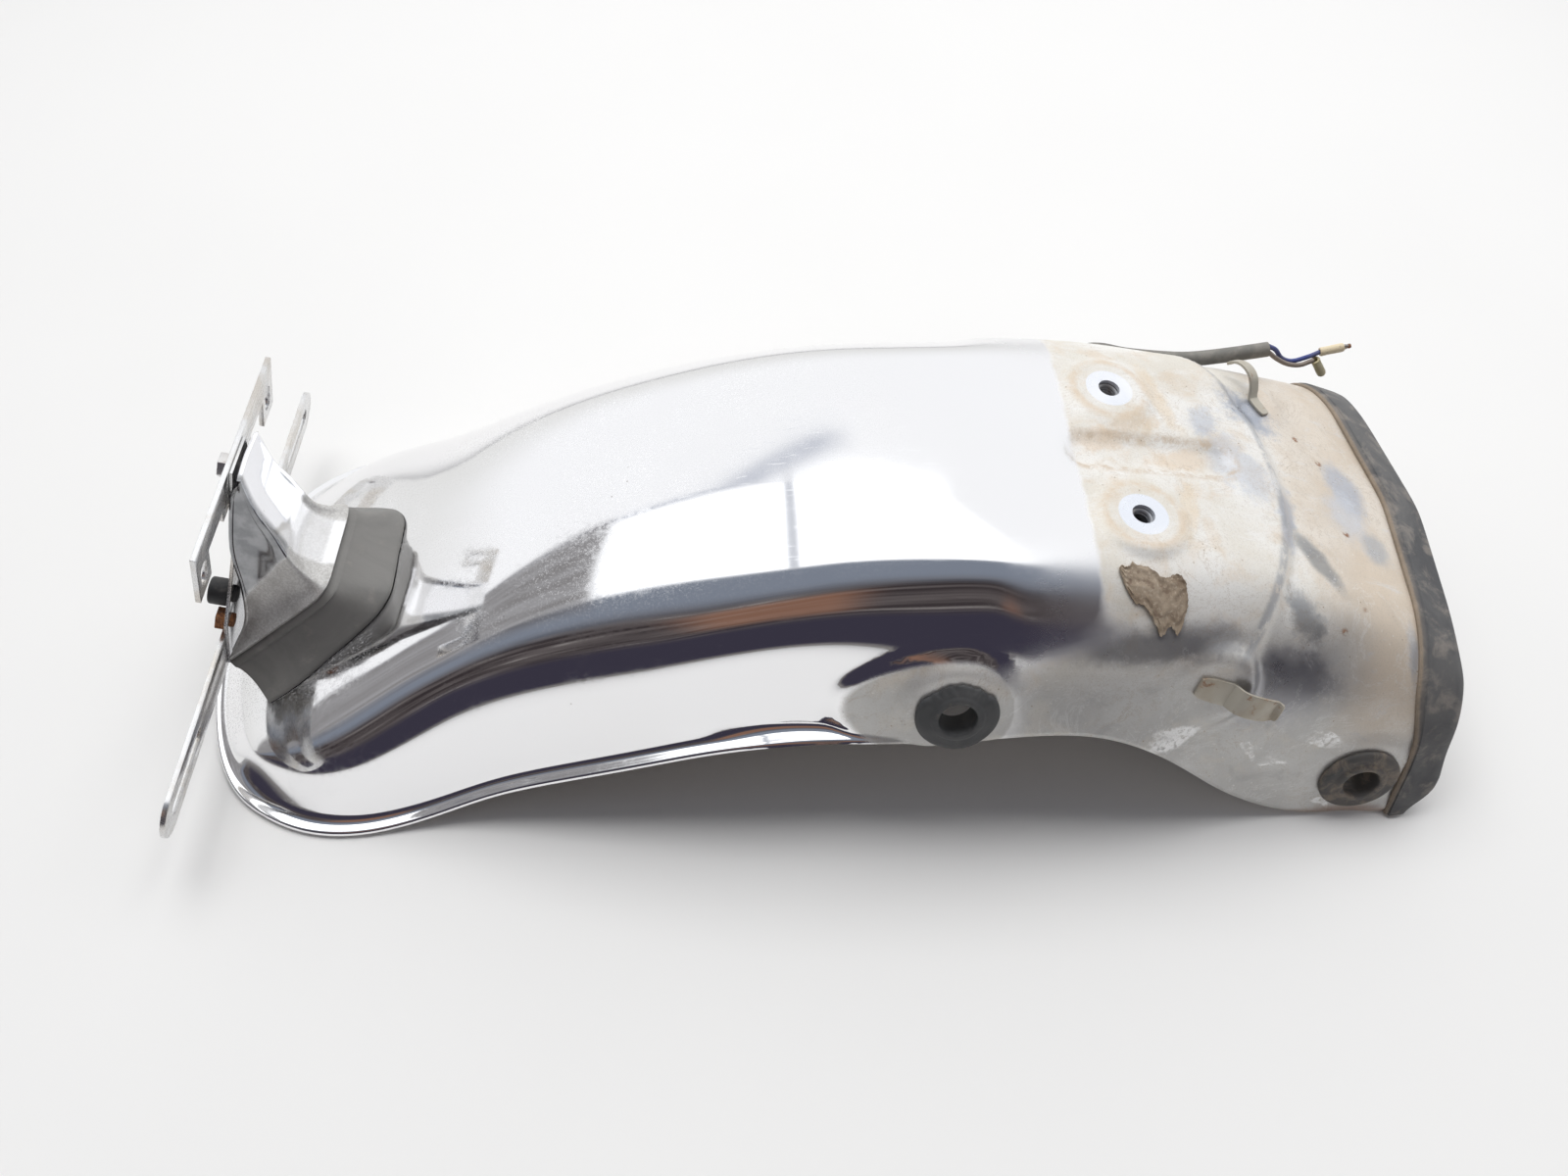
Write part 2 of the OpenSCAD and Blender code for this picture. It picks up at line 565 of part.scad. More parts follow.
// Height at which the rear edges of the stay come down to the plate plane, and their half width there
WEB_SEAT_AT = 54;
WEB_SEAT_HALF = 17;
WEB_CLEAR = 0.45;
module plate_web() {
    seat = WEB_SEAT_HALF - stay_t - WEB_CLEAR;
    half = [
        [33, -9], [33, 20], [24, 34], [seat + 0.4, WEB_SEAT_AT - 4], [seat - 0.3, WEB_SEAT_AT + 4],
        [9.5, UPPER_BAR_AT + 8]
    ];
    color("silver") in_plate_plane() translate([0, 0, WEB_GAP]) difference() {
        linear_extrude(stay_t - 0.4) polygon(concat(half, [for (k = [len(half) - 1:-1:0]) [-half[k][0], half[k][1]]]));
        for (end = [-1, 1]) {
            translate([end * BUSH_AT[0], BUSH_AT[1], 0]) cylinder(d = bush_d - 4, h = 8, center = true, $fn = 32);
            translate([end * STAY_BOLT_AT[0], STAY_BOLT_AT[1], 0]) cylinder(d = bolt_d + 0.4, h = 8, center = true, $fn = 32);
        }
        translate([0, UPPER_BAR_AT, 0]) cylinder(d = bolt_d + 0.4, h = 8, center = true, $fn = 32);
    }
}
// Hexagon bolt with its head on the rear face, at a height behind the plate plane
module plate_bolt(at, seat_z, len) {
    color("peru") in_plate_plane() translate([at[0], at[1], seat_z]) {
        translate([0, 0, -4.1]) cylinder(d = bolt_d * 1.75, h = 4, $fn = 6);
        translate([0, 0, -0.2]) cylinder(d = bolt_d, h = len, $fn = 32);
    }
}
module upper_bar_bolt() { plate_bolt([0, UPPER_BAR_AT], -bar_t, bar_t + 1.6); }
module stay_bolt_right() { plate_bolt([-STAY_BOLT_AT[0], STAY_BOLT_AT[1]], 0, stay_t + 1.2); }
module stay_bolt_left() { plate_bolt([STAY_BOLT_AT[0], STAY_BOLT_AT[1]], 0, stay_t + 1.2); }
module stay_bush(side) {
    color("black") in_plate_plane() translate([side * BUSH_AT[0], BUSH_AT[1], 0]) {
        translate([0, 0, -8]) cylinder(d = bush_d, h = 8, $fn = 48);
        translate([0, 0, -1]) cylinder(d = bush_d - 4.2, h = 4, $fn = 48);
    }
}
module stay_bush_right() { stay_bush(-1); }
module stay_bush_left() { stay_bush(1); }

// Lead: a sheath with two wires that ends free ahead of the far side
SHEATH_PATH = [
    [138.5, 97.4, 55.2], [138.5, 101.9, 57.2], [138.8, 105.4, 58.6], [143, 109.2, 59.8], [150, 108.6, 60.4],
    [159.5, 104, 61.5], [172.5, 97, 65.5], [185.5, 91.5, 69.5], [203.5, 91, 72], [221.5, 92, 74]
];
BLUE_PATH = [
    [221.8, 92.8, 75.2], [226.5, 93.6, 72], [231.5, 94.4, 66], [237.5, 94.8, 63.4], [244.5, 95.1, 65.6], [249.5, 95.6, 68]
];
GREY_PATH = [[221.9, 91.1, 73], [226.5, 91, 69.4], [233.5, 91.7, 64.8], [240.5, 92.2, 63.2], [246.8, 93.1, 65.2]];
SLEEVE_FRONT = [[249.5, 95.6, 68], [260, 96, 70.4]];
SLEEVE_SIDE = [[247.5, 93.2, 65.4], [254.5, 94, 55.6]];
sleeve_d = 4.2;
function bend(path, k, t) =
    let (last = len(path) - 1)
    spline(
        k == 0 ? 2 * path[0] - path[1] : path[k - 1], path[k], path[k + 1],
        k + 2 > last ? 2 * path[last] - path[last - 1] : path[k + 2], t
    );
function tube_rings(path, d, sides, cuts) =
    let (
        centre = concat(
            [for (k = [0:len(path) - 2], m = [0:cuts - 1]) bend(path, k, m / cuts)],
            [path[len(path) - 1]]
        ),
        last = len(centre) - 1
    )
    [for (k = [0:last])
        let (
            dir = unit(centre[min(k + 1, last)] - centre[max(k - 1, 0)]),
            u = unit(cross(dir, [0, 0, 1])),
            v = cross(u, dir)
        )
        [for (m = [0:sides - 1]) centre[k] + d / 2 * (cos(360 * m / sides) * u + sin(360 * m / sides) * v)]
    ];
module tube(path, d, sides, cuts) { swept(tube_rings(path, d, sides, cuts)); }
module rod(a, b, d) {
    translate(a) along(b - a) cylinder(d = d, h = norm(b - a), $fn = 32);
}
module lead_grommet() {
    color("black") at_seat(LEAD_SEAT, LEAD_LEAN, 1) rotate_extrude($fn = 48) polygon([
        [sheath_d / 2 + 0.2, 5], [sheath_d / 2 + 1.6, 5], [sheath_d / 2 + 4, 2], [sheath_d / 2 + 4, 0.1],
        [sheath_d / 2 + 2, 0.1], [sheath_d / 2 + 2, -sheet_t - 0.2], [sheath_d / 2 + 4, -sheet_t - 0.2],
        [sheath_d / 2 + 3, -sheet_t - 2.4], [sheath_d / 2 + 0.2, -sheet_t - 2.4]
    ]);
}
module lead_sheath() { color("gray") tube(SHEATH_PATH, sheath_d, 12, 2); }
module wire_blue() { color("royalblue") tube(BLUE_PATH, wire_d, 8, 2); }
module wire_grey() { color("rosybrown") tube(GREY_PATH, wire_d, 8, 2); }
module sleeve_front() { color("cornsilk") rod(SLEEVE_FRONT[0], SLEEVE_FRONT[1], sleeve_d); }
module sleeve_side() { color("khaki") rod(SLEEVE_SIDE[0], SLEEVE_SIDE[1], sleeve_d); }
module terminal_tip() {
    color("gray") rod(SLEEVE_FRONT[1], SLEEVE_FRONT[1] + 3.4 * unit(SLEEVE_FRONT[1] - SLEEVE_FRONT[0]), 2.4);
}

// Torn tape on the right shoulder: station, then first and last distance from the ridge
TAPE_ROWS = [
    [5.72, 61.5, 70], [5.8, 60, 73], [5.95, 59, 77], [6.1, 60.5, 75.5], [6.25, 60, 78.5],
    [6.4, 58, 75], [6.55, 56.5, 71], [6.75, 56, 69], [6.9, 57.5, 65.5], [7.0, 57, 60.5]
];
TAPE_STEPS = 5;
tape_t = 0.5;
TAPE_LIFT = 0.35;
TAPE = [for (row = TAPE_ROWS) [for (m = [0:TAPE_STEPS])
    skin_at(row[0], mix(row[1], row[2], m / TAPE_STEPS), -1)]];
module tape_patch() {
    lifted = [for (i = [0:len(TAPE) - 1]) [for (m = [0:TAPE_STEPS])
        TAPE[i][m] + (TAPE_LIFT + tape_t) * grid_normal(TAPE, i, m)]];
    color("saddlebrown") open_sheet(lifted, tape_t);
}

fender_shell();
front_edge_rubber();
grommet_rear_right();
grommet_rear_left();
grommet_front_right();
grommet_front_left();
weld_nut_right();
weld_nut_left();
side_clip();
crown_clip();
stay_gasket();
tail_stay();
plate_web();
upper_plate_bar();
lower_plate_bar();
upper_bar_bolt();
stay_bolt_right();
stay_bolt_left();
stay_bush_right();
stay_bush_left();
lead_grommet();
lead_sheath();
wire_blue();
wire_grey();
sleeve_front();
sleeve_side();
terminal_tip();
tape_patch();
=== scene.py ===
"""Motorcycle rear fender: chrome sheet, rubber front edge, grommets, clips, tail stay and lead.

Sizes are in millimetres in the tables and classes below, and every mesh is written in metres.
The fender stands on its side edges, with +X towards its front end and +Z up.
"""

import json
import logging
import math
from contextlib import contextmanager
from dataclasses import dataclass, field
from enum import Enum
from typing import Callable, Iterator, Sequence

import bpy
import numpy as np
from mathutils import Matrix, Vector

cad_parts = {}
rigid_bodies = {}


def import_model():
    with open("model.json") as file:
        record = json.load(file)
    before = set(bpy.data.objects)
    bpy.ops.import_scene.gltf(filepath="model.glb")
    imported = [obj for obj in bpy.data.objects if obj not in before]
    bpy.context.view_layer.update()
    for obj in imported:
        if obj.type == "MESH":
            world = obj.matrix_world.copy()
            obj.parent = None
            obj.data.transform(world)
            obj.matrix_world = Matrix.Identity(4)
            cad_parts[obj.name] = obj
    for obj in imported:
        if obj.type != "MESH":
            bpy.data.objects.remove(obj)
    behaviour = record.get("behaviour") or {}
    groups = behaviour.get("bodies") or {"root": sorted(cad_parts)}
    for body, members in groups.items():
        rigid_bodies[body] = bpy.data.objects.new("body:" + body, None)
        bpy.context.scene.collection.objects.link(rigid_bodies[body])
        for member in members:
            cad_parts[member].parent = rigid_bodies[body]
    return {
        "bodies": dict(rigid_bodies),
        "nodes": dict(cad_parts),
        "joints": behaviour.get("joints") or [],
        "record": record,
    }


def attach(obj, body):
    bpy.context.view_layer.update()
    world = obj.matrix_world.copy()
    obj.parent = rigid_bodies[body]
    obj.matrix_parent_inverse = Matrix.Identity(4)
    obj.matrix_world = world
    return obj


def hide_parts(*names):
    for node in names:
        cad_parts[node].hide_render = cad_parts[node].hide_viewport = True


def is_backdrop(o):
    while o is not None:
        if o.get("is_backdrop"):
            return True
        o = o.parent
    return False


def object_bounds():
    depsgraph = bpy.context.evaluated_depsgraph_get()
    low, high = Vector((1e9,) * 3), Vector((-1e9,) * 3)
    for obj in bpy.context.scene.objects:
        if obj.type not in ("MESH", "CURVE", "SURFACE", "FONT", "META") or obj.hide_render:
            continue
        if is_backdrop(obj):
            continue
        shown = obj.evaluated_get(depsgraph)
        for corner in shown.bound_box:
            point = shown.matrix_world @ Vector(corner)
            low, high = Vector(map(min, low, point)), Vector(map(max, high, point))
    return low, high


MM = 0.001
LOG = logging.getLogger("fender")

Point = Sequence[float]
Colour = tuple[float, float, float]
Spot = tuple[float, float, float]

# Side edge x, y, z, then ridge x, z, then corner share, curved share, flange share
SECTIONS = np.array([
    [242.5, 108.5, 1.5, 254, 72, 0.75, 0.42, 0],
    [223.5, 108.5, 1.5, 229.5, 82.5, 0.75, 0.41, 0],
    [202.5, 108, 2, 205.5, 90.5, 0.74, 0.40, 0],
    [187.5, 107.5, 7, 188.5, 96, 0.73, 0.40, 0],
    [167.5, 106.2, 18.5, 168.5, 100.5, 0.715, 0.40, 0],
    [150.5, 105, 34, 150.5, 104.5, 0.7, 0.40, 0],
    [133.5, 103.3, 48, 133.5, 107.5, 0.7, 0.40, 0],
    [113.5, 101, 58, 113.5, 110.5, 0.7, 0.40, 0],
    [92.5, 99.5, 60, 92.5, 113, 0.71, 0.45, 0],
    [67.5, 98.5, 55.5, 67.5, 115.5, 0.73, 0.55, 0],
    [42.5, 98, 53, 42.5, 117, 0.745, 0.65, 0],
    [17.5, 97.5, 53.5, 17.5, 117.3, 0.755, 0.70, 0.5],
    [-7.5, 97.5, 53.5, -7.5, 115, 0.76, 0.76, 1],
    [-37.5, 97.2, 48.5, -37.5, 110, 0.75, 0.78, 1],
    [-67.5, 97.2, 38.5, -67.5, 103, 0.745, 0.78, 1],
    [-97.5, 97, 29, -97.5, 93.5, 0.74, 0.78, 1],
    [-127.5, 96.8, 18.5, -127.5, 80, 0.74, 0.78, 1],
    [-152.5, 99.5, 7, -154.5, 64.5, 0.74, 0.78, 1],
    [-172.5, 103, 2.4, -174.5, 52, 0.745, 0.78, 1],
    [-188.5, 105, 1.5, -188.5, 44, 0.745, 0.78, 1],
    [-205.5, 104, 1.5, -200.5, 37.5, 0.73, 0.78, 1],
    [-221.5, 98.5, 1.5, -209.5, 32.5, 0.71, 0.78, 1],
    [-238.5, 88, 1.5, -216.5, 28.5, 0.68, 0.78, 1],
    [-249.5, 73.5, 1.5, -221.5, 26, 0.64, 0.78, 1],
    [-257.5, 54, 1.5, -225.5, 24, 0.59, 0.78, 1],
    [-263.7, 28, 1.5, -228.5, 22.5, 0.545, 0.78, 1],
    [-265.2, 0, 1.5, -229.5, 22, 0.53, 0.78, 1],
])


def ease(t: np.ndarray | float) -> np.ndarray:
    """Smooth step from 0 to 1 over the range 0 to 1."""
    u = np.clip(t, 0.0, 1.0)
    return u * u * (3.0 - 2.0 * u)


def mix(a: np.ndarray, b: np.ndarray, t: np.ndarray | float) -> np.ndarray:
    """Straight blend from a to b."""
    return a + (b - a) * t


def spline(points: np.ndarray, t: np.ndarray) -> np.ndarray:
    """Evaluates an even spline that passes through its points.

    Args:
        points: Rows of values, one row for each knot.
        t: Places along the spline, from 0 to the number of rows less one.

    Returns:
        One row of values for each place.
    """
    last = len(points) - 1
    k = np.minimum(np.floor(t).astype(int), last - 1)
    u = (t - k)[:, None]
    ext = np.vstack([2 * points[0] - points[1], points, 2 * points[-1] - points[-2]])
    a, b, c, d = (ext[k + n] for n in range(4))
    return 0.5 * (2 * b + (c - a) * u + (2 * a - 5 * b + 4 * c - d) * u**2 + (3 * b - a - 3 * c + d) * u**3)


def drawn(points: np.ndarray, fine: int) -> np.ndarray:
    """Spline through points, cut into a number of pieces between each two of them."""
    return spline(points, np.linspace(0, len(points) - 1, (len(points) - 1) * fine + 1))


def blurred(values: np.ndarray, width: float) -> np.ndarray:
    """Averages rows with their neighbours, weighted by a bell curve of that width in rows."""
    reach = int(math.ceil(3 * width))
    kernel = np.exp(-0.5 * (np.arange(-reach, reach + 1) / width) ** 2)
    kernel /= kernel.sum()
    out = np.empty_like(values)
    padded = np.pad(values, ((reach, reach), (0, 0)), mode="reflect", reflect_type="odd")
    for c in range(values.shape[1]):
        out[:, c] = np.convolve(padded[:, c], kernel, mode="valid")
    return out


def unit(v: np.ndarray) -> np.ndarray:
    """Vectors of length one along the last axis."""
    return v / np.maximum(np.linalg.norm(v, axis=-1, keepdims=True), 1e-9)


class Bench:
    """Adds, shapes and finishes mesh pieces with Blender's own operators."""

    @staticmethod
    def clear() -> None:
        """Leaves nothing selected."""
        if bpy.context.object and bpy.context.object.mode != "OBJECT":
            bpy.ops.object.mode_set(mode="OBJECT")
        bpy.ops.object.select_all(action="DESELECT")

    @staticmethod
    def take(obj: bpy.types.Object) -> bpy.types.Object:
        """Makes one object the selected and active one."""
        Bench.clear()
        obj.select_set(True)
        bpy.context.view_layer.objects.active = obj
        return obj

    @staticmethod
    @contextmanager
    def editing(obj: bpy.types.Object, select: str = "SELECT") -> Iterator[None]:
        """Opens one piece in edit mode, with everything or nothing selected, and closes it again."""
        Bench.take(obj)
        bpy.ops.object.mode_set(mode="EDIT")
        bpy.ops.mesh.select_all(action=select)
        yield
        bpy.ops.object.mode_set(mode="OBJECT")

    @staticmethod
    def settle(obj: bpy.types.Object, matrix: Matrix | None = None) -> None:
        """Writes an object's place into its mesh, after an extra matrix if one is given."""
        if matrix is not None:
            obj.matrix_world = matrix @ obj.matrix_world
        Bench.take(obj)
        bpy.ops.object.transform_apply(location=True, rotation=True, scale=True)

    @staticmethod
    def sheet(name: str, points: np.ndarray, rim: np.ndarray | None = None) -> bpy.types.Object:
        """Adds a grid and moves its vertices to a table of points.

        Args:
            name: Name of the piece.
            points: Rows and columns of points in millimetres.
            rim: One value for each column, kept on the vertices for the finish to read.

        Returns:
            The open sheet, with one vertex for each point.
        """
        rows, cols = points.shape[:2]
        Bench.clear()
        bpy.ops.mesh.primitive_grid_add(x_subdivisions=cols - 1, y_subdivisions=rows - 1, size=2)
        obj = bpy.context.object
        obj.name = obj.data.name = name
        places = np.empty(rows * cols * 3)
        obj.data.vertices.foreach_get("co", places)
        grid = places.reshape(-1, 3)
        col = np.rint((grid[:, 0] + 1) / 2 * (cols - 1)).astype(int)
        row = np.rint((grid[:, 1] + 1) / 2 * (rows - 1)).astype(int)
        obj.data.vertices.foreach_set("co", (points[row, col] * MM).ravel())
        if rim is not None:
            obj.data.attributes.new("rim", "FLOAT", "POINT").data.foreach_set("value",
                                                                              rim[col].astype(float))
        obj.data.update()
        return obj

    @staticmethod
    def merge(obj: bpy.types.Object, distance: float = 0.02) -> None:
        """Merges vertices that lie within a distance in millimetres and turns the faces outwards."""
        with Bench.editing(obj):
            bpy.ops.mesh.remove_doubles(threshold=distance * MM)
            bpy.ops.mesh.normals_make_consistent(inside=False)

    @staticmethod
    def flip(obj: bpy.types.Object) -> None:
        """Turns every face over."""
        with Bench.editing(obj):
            bpy.ops.mesh.flip_normals()

    @staticmethod
    def cap(obj: bpy.types.Object) -> None:
        """Fills the open ends of a swept piece and turns its faces outwards."""
        with Bench.editing(obj, "DESELECT"):
            bpy.ops.mesh.select_non_manifold()
            bpy.ops.mesh.edge_face_add()
            bpy.ops.mesh.select_all(action="SELECT")
            bpy.ops.mesh.normals_make_consistent(inside=False)

    @staticmethod
    def apply(obj: bpy.types.Object, kind: str, **values: object) -> None:
        """Adds a modifier with its settings and applies it."""
        Bench.take(obj)
        modifier = obj.modifiers.new(kind.lower(), kind)
        for key, value in values.items():
            setattr(modifier, key, value)
        bpy.ops.object.modifier_apply(modifier=modifier.name)

    @staticmethod
    def bevel(obj: bpy.types.Object, width: float, segments: int = 2, angle: float = 40) -> None:
        """Rounds the edges that are sharper than an angle in degrees."""
        Bench.apply(obj, "BEVEL", width=width * MM, segments=segments, limit_method="ANGLE",
                    angle_limit=math.radians(angle), harden_normals=False)

    @staticmethod
    def smooth(obj: bpy.types.Object, angle: float = 35) -> None:
        """Shades a piece smooth and keeps the edges that are sharper than an angle."""
        Bench.take(obj)
        bpy.ops.object.shade_smooth_by_angle(angle=math.radians(angle))

    @staticmethod
    def cut(obj: bpy.types.Object, tool: bpy.types.Object) -> None:
        """Takes one closed piece away from another and removes the tool."""
        Bench.apply(obj, "BOOLEAN", operation="DIFFERENCE", solver="EXACT", object=tool)
        bpy.data.objects.remove(tool, do_unlink=True)

    @staticmethod
    def turned(name: str, profile: Sequence[tuple[float, float]], segments: int) -> bpy.types.Object:
        """Draws a round piece by extruding a circle along a closed profile of radius and height.

        Args:
            name: Name of the piece.
            profile: Radius and height of each ring, in millimetres.
            segments: Number of sides.

        Returns:
            The piece, standing on the Z axis.
        """
        Bench.clear()
        radius, height = profile[0]
        bpy.ops.mesh.primitive_circle_add(vertices=segments, radius=radius * MM,
                                          location=(0, 0, height * MM))
        obj = bpy.context.object
        obj.name = obj.data.name = name
        Bench.settle(obj)
        with Bench.editing(obj):
            for r, z in [*profile[1:], profile[0]]:
                bpy.ops.mesh.extrude_edges_move(TRANSFORM_OT_translate={"value": (0, 0, (z - height) * MM)})
                scale = r / radius
                bpy.ops.transform.resize(value=(scale, scale, 1), center_override=(0, 0, z * MM))
                radius, height = r, z
        Bench.merge(obj)
        return obj

    @staticmethod
    def copy_of(node: str, name: str, dissolve: float) -> bpy.types.Object:
        """Copies a part of the frame with its loose triangles merged and its flat faces joined."""
        source = FRAME["nodes"][node]
        obj = source.copy()
        obj.data = source.data.copy()
        obj.name = obj.data.name = name
        for key in list(obj.keys()):
            del obj[key]
        obj.parent = None
        bpy.context.scene.collection.objects.link(obj)
        with Bench.editing(obj):
            bpy.ops.mesh.remove_doubles(threshold=0.005 * MM)
            bpy.ops.mesh.dissolve_limited(angle_limit=math.radians(dissolve))
        return obj


FRAME: dict = {}


@dataclass
class SeatPlane:
    """A flat seat pressed into the sheet: its centre, its outward direction and its flat radius."""

    centre: Spot
    normal: Spot
    flat: float
    blend: float = 7.0


def wall_seat(place: Point, lean: float, side: int, flat: float, blend: float = 7.0) -> SeatPlane:
    """Seat on a side wall.

    Args:
        place: Centre of the seat on the left side.
        lean: Tilt of the seat from upright in degrees.
        side: 1 for the left side and -1 for the right side.
        flat: Radius of the flat.
        blend: Width of the ring over which the flat runs out.

    Returns:
        The seat in the fender's own frame.
    """
    angle = math.radians(lean)
    return SeatPlane((place[0], side * place[1], place[2]), (0, side * math.cos(angle), math.sin(angle)),
                     flat, blend)


@dataclass
class FenderForm:
    """Outer skin of the fender, as a function of station along it and share across it."""

    # Cuts between two sections, and how far they are averaged
    fine: int = 10
    softness: float = 0.42

    # Edge: flange, fillet and lip
    flange: float = 6.0
    drop: float = 3.4
    edge_bend: float = 2.0
    fillet: float = 3.3
    lip_rise: float = 1.7
    lip_edge: float = 1.95

    # Fall of the crown towards the tail
    tail_slope: float = 0.56
    fan_start: float = -142.5
    fan_blend: float = 40.0

    # Crown holes with their pads, the groove between them and the step ahead of them
    hole_x: float = 127.5
    hole_y: float = 33.5
    hole_z: float = 109.816
    hole_tilt: float = 8.5
    pad: float = 15.0
    pad_rise: float = 1.4
    pad_blend: float = 6.0
    groove_from: float = 111.5
    groove_to: float = 165.5
    groove_half: float = 10.0
    groove_depth: float = 2.6
    step_x: float = 189.5
    step_bow: float = 0.0042
    step_run: float = 8.0
    step_drop: float = 4.5

    # Seats: centre on the left side, lean or tilt in degrees, and radius of the flat
    rear_seat: Spot = (54, 94.2, 68.8)
    rear_lean: float = 19.5
    front_seat: Spot = (222.5, 102.3, 21)
    front_lean: float = 14.3
    grommet_flat: float = 18.0
    grommet_blend: float = 6.0
    lead_seat: Spot = (138.5, 99.2, 56)
    lead_lean: float = 24.0
    lead_flat: float = 11.0
    side_clip_seat: Spot = (152, 90, 73)
    side_clip_lean: float = 24.0
    side_clip_flat: float = 13.0
    crown_clip_seat: Spot = (196.5, 43, 89.6)
    crown_clip_tilt: float = 16.5
    crown_clip_flat: float = 10.0
    press_reach: float = 14.0

    # Hollow beside and above the boss of each rear grommet
    boss_reach: float = 22.0
    boss_edge: float = 5.5
    boss_run: float = 36.0
    boss_rise: float = 2.6
    boss_stretch: float = 0.52

    seats: list[SeatPlane] = field(default_factory=list)

    def __post_init__(self) -> None:
        """Lays out the seats in the order in which they are pressed."""
        tilt, lean = math.radians(self.hole_tilt), math.radians(self.crown_clip_tilt)
        for side in (-1, 1):
            for place, angle in ((self.rear_seat, self.rear_lean), (self.front_seat, self.front_lean)):
                self.seats.append(wall_seat(place, angle, side, self.grommet_flat, self.grommet_blend))
            self.seats.append(SeatPlane((self.hole_x, side * self.hole_y, self.hole_z),
                                        (math.sin(tilt), 0, math.cos(tilt)), self.pad - 2))
        self.seats.append(wall_seat(self.lead_seat, self.lead_lean, 1, self.lead_flat))
        self.seats.append(wall_seat(self.side_clip_seat, self.side_clip_lean, -1, self.side_clip_flat))
        self.seats.append(SeatPlane(self.crown_clip_seat, (math.sin(lean), 0, math.cos(lean)),
                                    self.crown_clip_flat))
        self.stations = np.linspace(0, len(SECTIONS) - 1, (len(SECTIONS) - 1) * self.fine + 1)
        mirrored = SECTIONS[-2:-8:-1] * np.array([1, -1, 1, 1, 1, 1, 1, 1])
        longer = np.vstack([SECTIONS, mirrored])
        places = np.linspace(0, len(SECTIONS) + 2, (len(SECTIONS) + 2) * self.fine + 1)
        soft = blurred(spline(longer, places), self.fine * self.softness)
        self.rows = soft[:len(self.stations)]
        self.rows[-1, 1] = 0.0

    def row(self, station: float) -> np.ndarray:
        """Sizes of the section at a station."""
        t = station * self.fine
        k = min(int(t), len(self.rows) - 2)
        return mix(self.rows[k], self.rows[k + 1], t - k)

    def half_profile(self, rows: np.ndarray, steps: Sequence[int]) -> tuple[np.ndarray, ...]:
        """Half sections from the ridge to the side edge.

        Args:
            rows: Sizes of the sections.
            steps: Number of columns on the flat, the rounded part, the wall, the fillet and the flange.

        Returns:
            Distance from the ridge, height, and the reach of each section.
        """
        reach = np.hypot(rows[:, 0] - rows[:, 3], rows[:, 1])
        fanned = ease((self.fan_start - rows[:, 3]) / self.fan_blend)
        fall = self.tail_slope * fanned * (rows[:, 0] - rows[:, 3]) / reach
        share = np.clip(rows[:, 7], 0, 1)
        foot = np.stack([reach - share * self.flange,
                         rows[:, 2] + mix(self.edge_bend, self.drop - self.lip_rise, share)], 1)
        corner_r = reach * rows[:, 5]
        corner = np.stack([corner_r, rows[:, 4] + fall * corner_r], 1)
        top_r = corner_r * (1 - rows[:, 6])
        top = np.stack([top_r, rows[:, 4] + fall * top_r], 1)
        ridge = np.stack([np.zeros_like(reach), rows[:, 4]], 1)
        low = mix(corner, foot, 0.5)
        lip = np.stack([reach, rows[:, 2]], 1)
        roll = np.stack([reach - 0.5 * share - 0.05,
                         rows[:, 2] + mix(0.4, self.drop - self.lip_edge, share)], 1)
        radius = (0.5 + (self.fillet - 0.5) * share)[:, None]
        before = foot + radius * unit(low - foot)
        after = foot + 0.8 * radius * unit(roll - foot)
        near = roll - 0.6 * unit(roll - after)
        runs = []
        for t in np.arange(steps[0]) / steps[0]:
            runs.append(mix(ridge, top, t))
        for t in np.arange(steps[1]) / steps[1]:
            runs.append(mix(mix(top, corner, t), mix(corner, low, t), t))
        for t in np.arange(steps[2]) / steps[2]:
            runs.append(mix(low, before, t))
        for t in np.arange(steps[3]) / steps[3]:
            runs.append(mix(mix(before, foot, t), mix(foot, after, t), t))
        for t in np.arange(steps[4] + 1) / steps[4]:
            u = max(0.0, 2 * t - 1)
            runs.append(mix(after, near, 2 * t) if t < 0.5 else mix(mix(near, roll, u), mix(roll, lip, u),
                                                                    u))
        table = np.stack(runs, 1)
        return table[..., 0], table[..., 1], reach

    def pressed(self, p: np.ndarray) -> np.ndarray:
        """Adds the pads, the groove and the step of the crown to points of the plain skin."""
        x, y = p[..., 0], p[..., 1]
        crown = ease((p[..., 2] - 45) / 35)
        off = np.hypot(x - np.clip(x, self.groove_from, self.groove_to), y)
        groove = self.groove_depth * (1 - ease((off - self.groove_half + 5) / 6))
        holes = (np.hypot(x - self.hole_x, y - side * self.hole_y) for side in (-1, 1))
        pads = np.maximum(*(1 - ease((hole - self.pad) / self.pad_blend) for hole in holes))
        step = self.step_drop * ease((x - self.step_x + self.step_bow * y * y) / self.step_run)
        out = p.copy()
        out[..., 2] += crown * (self.pad_rise * pads - groove - step)
        return out

    def flattened(self, p: np.ndarray) -> np.ndarray:
        """Presses each seat flat."""
        for seat in self.seats:
            centre, normal = np.array(seat.centre, float), np.array(seat.normal, float)
            away = p - centre
            height = away @ normal
            off = np.linalg.norm(away - height[..., None] * normal, axis=-1)
            hold = np.where(np.abs(height) > self.press_reach, 0.0, 1 - ease((off - seat.flat) / seat.blend))
            p = p - (hold * height)[..., None] * normal
        return p

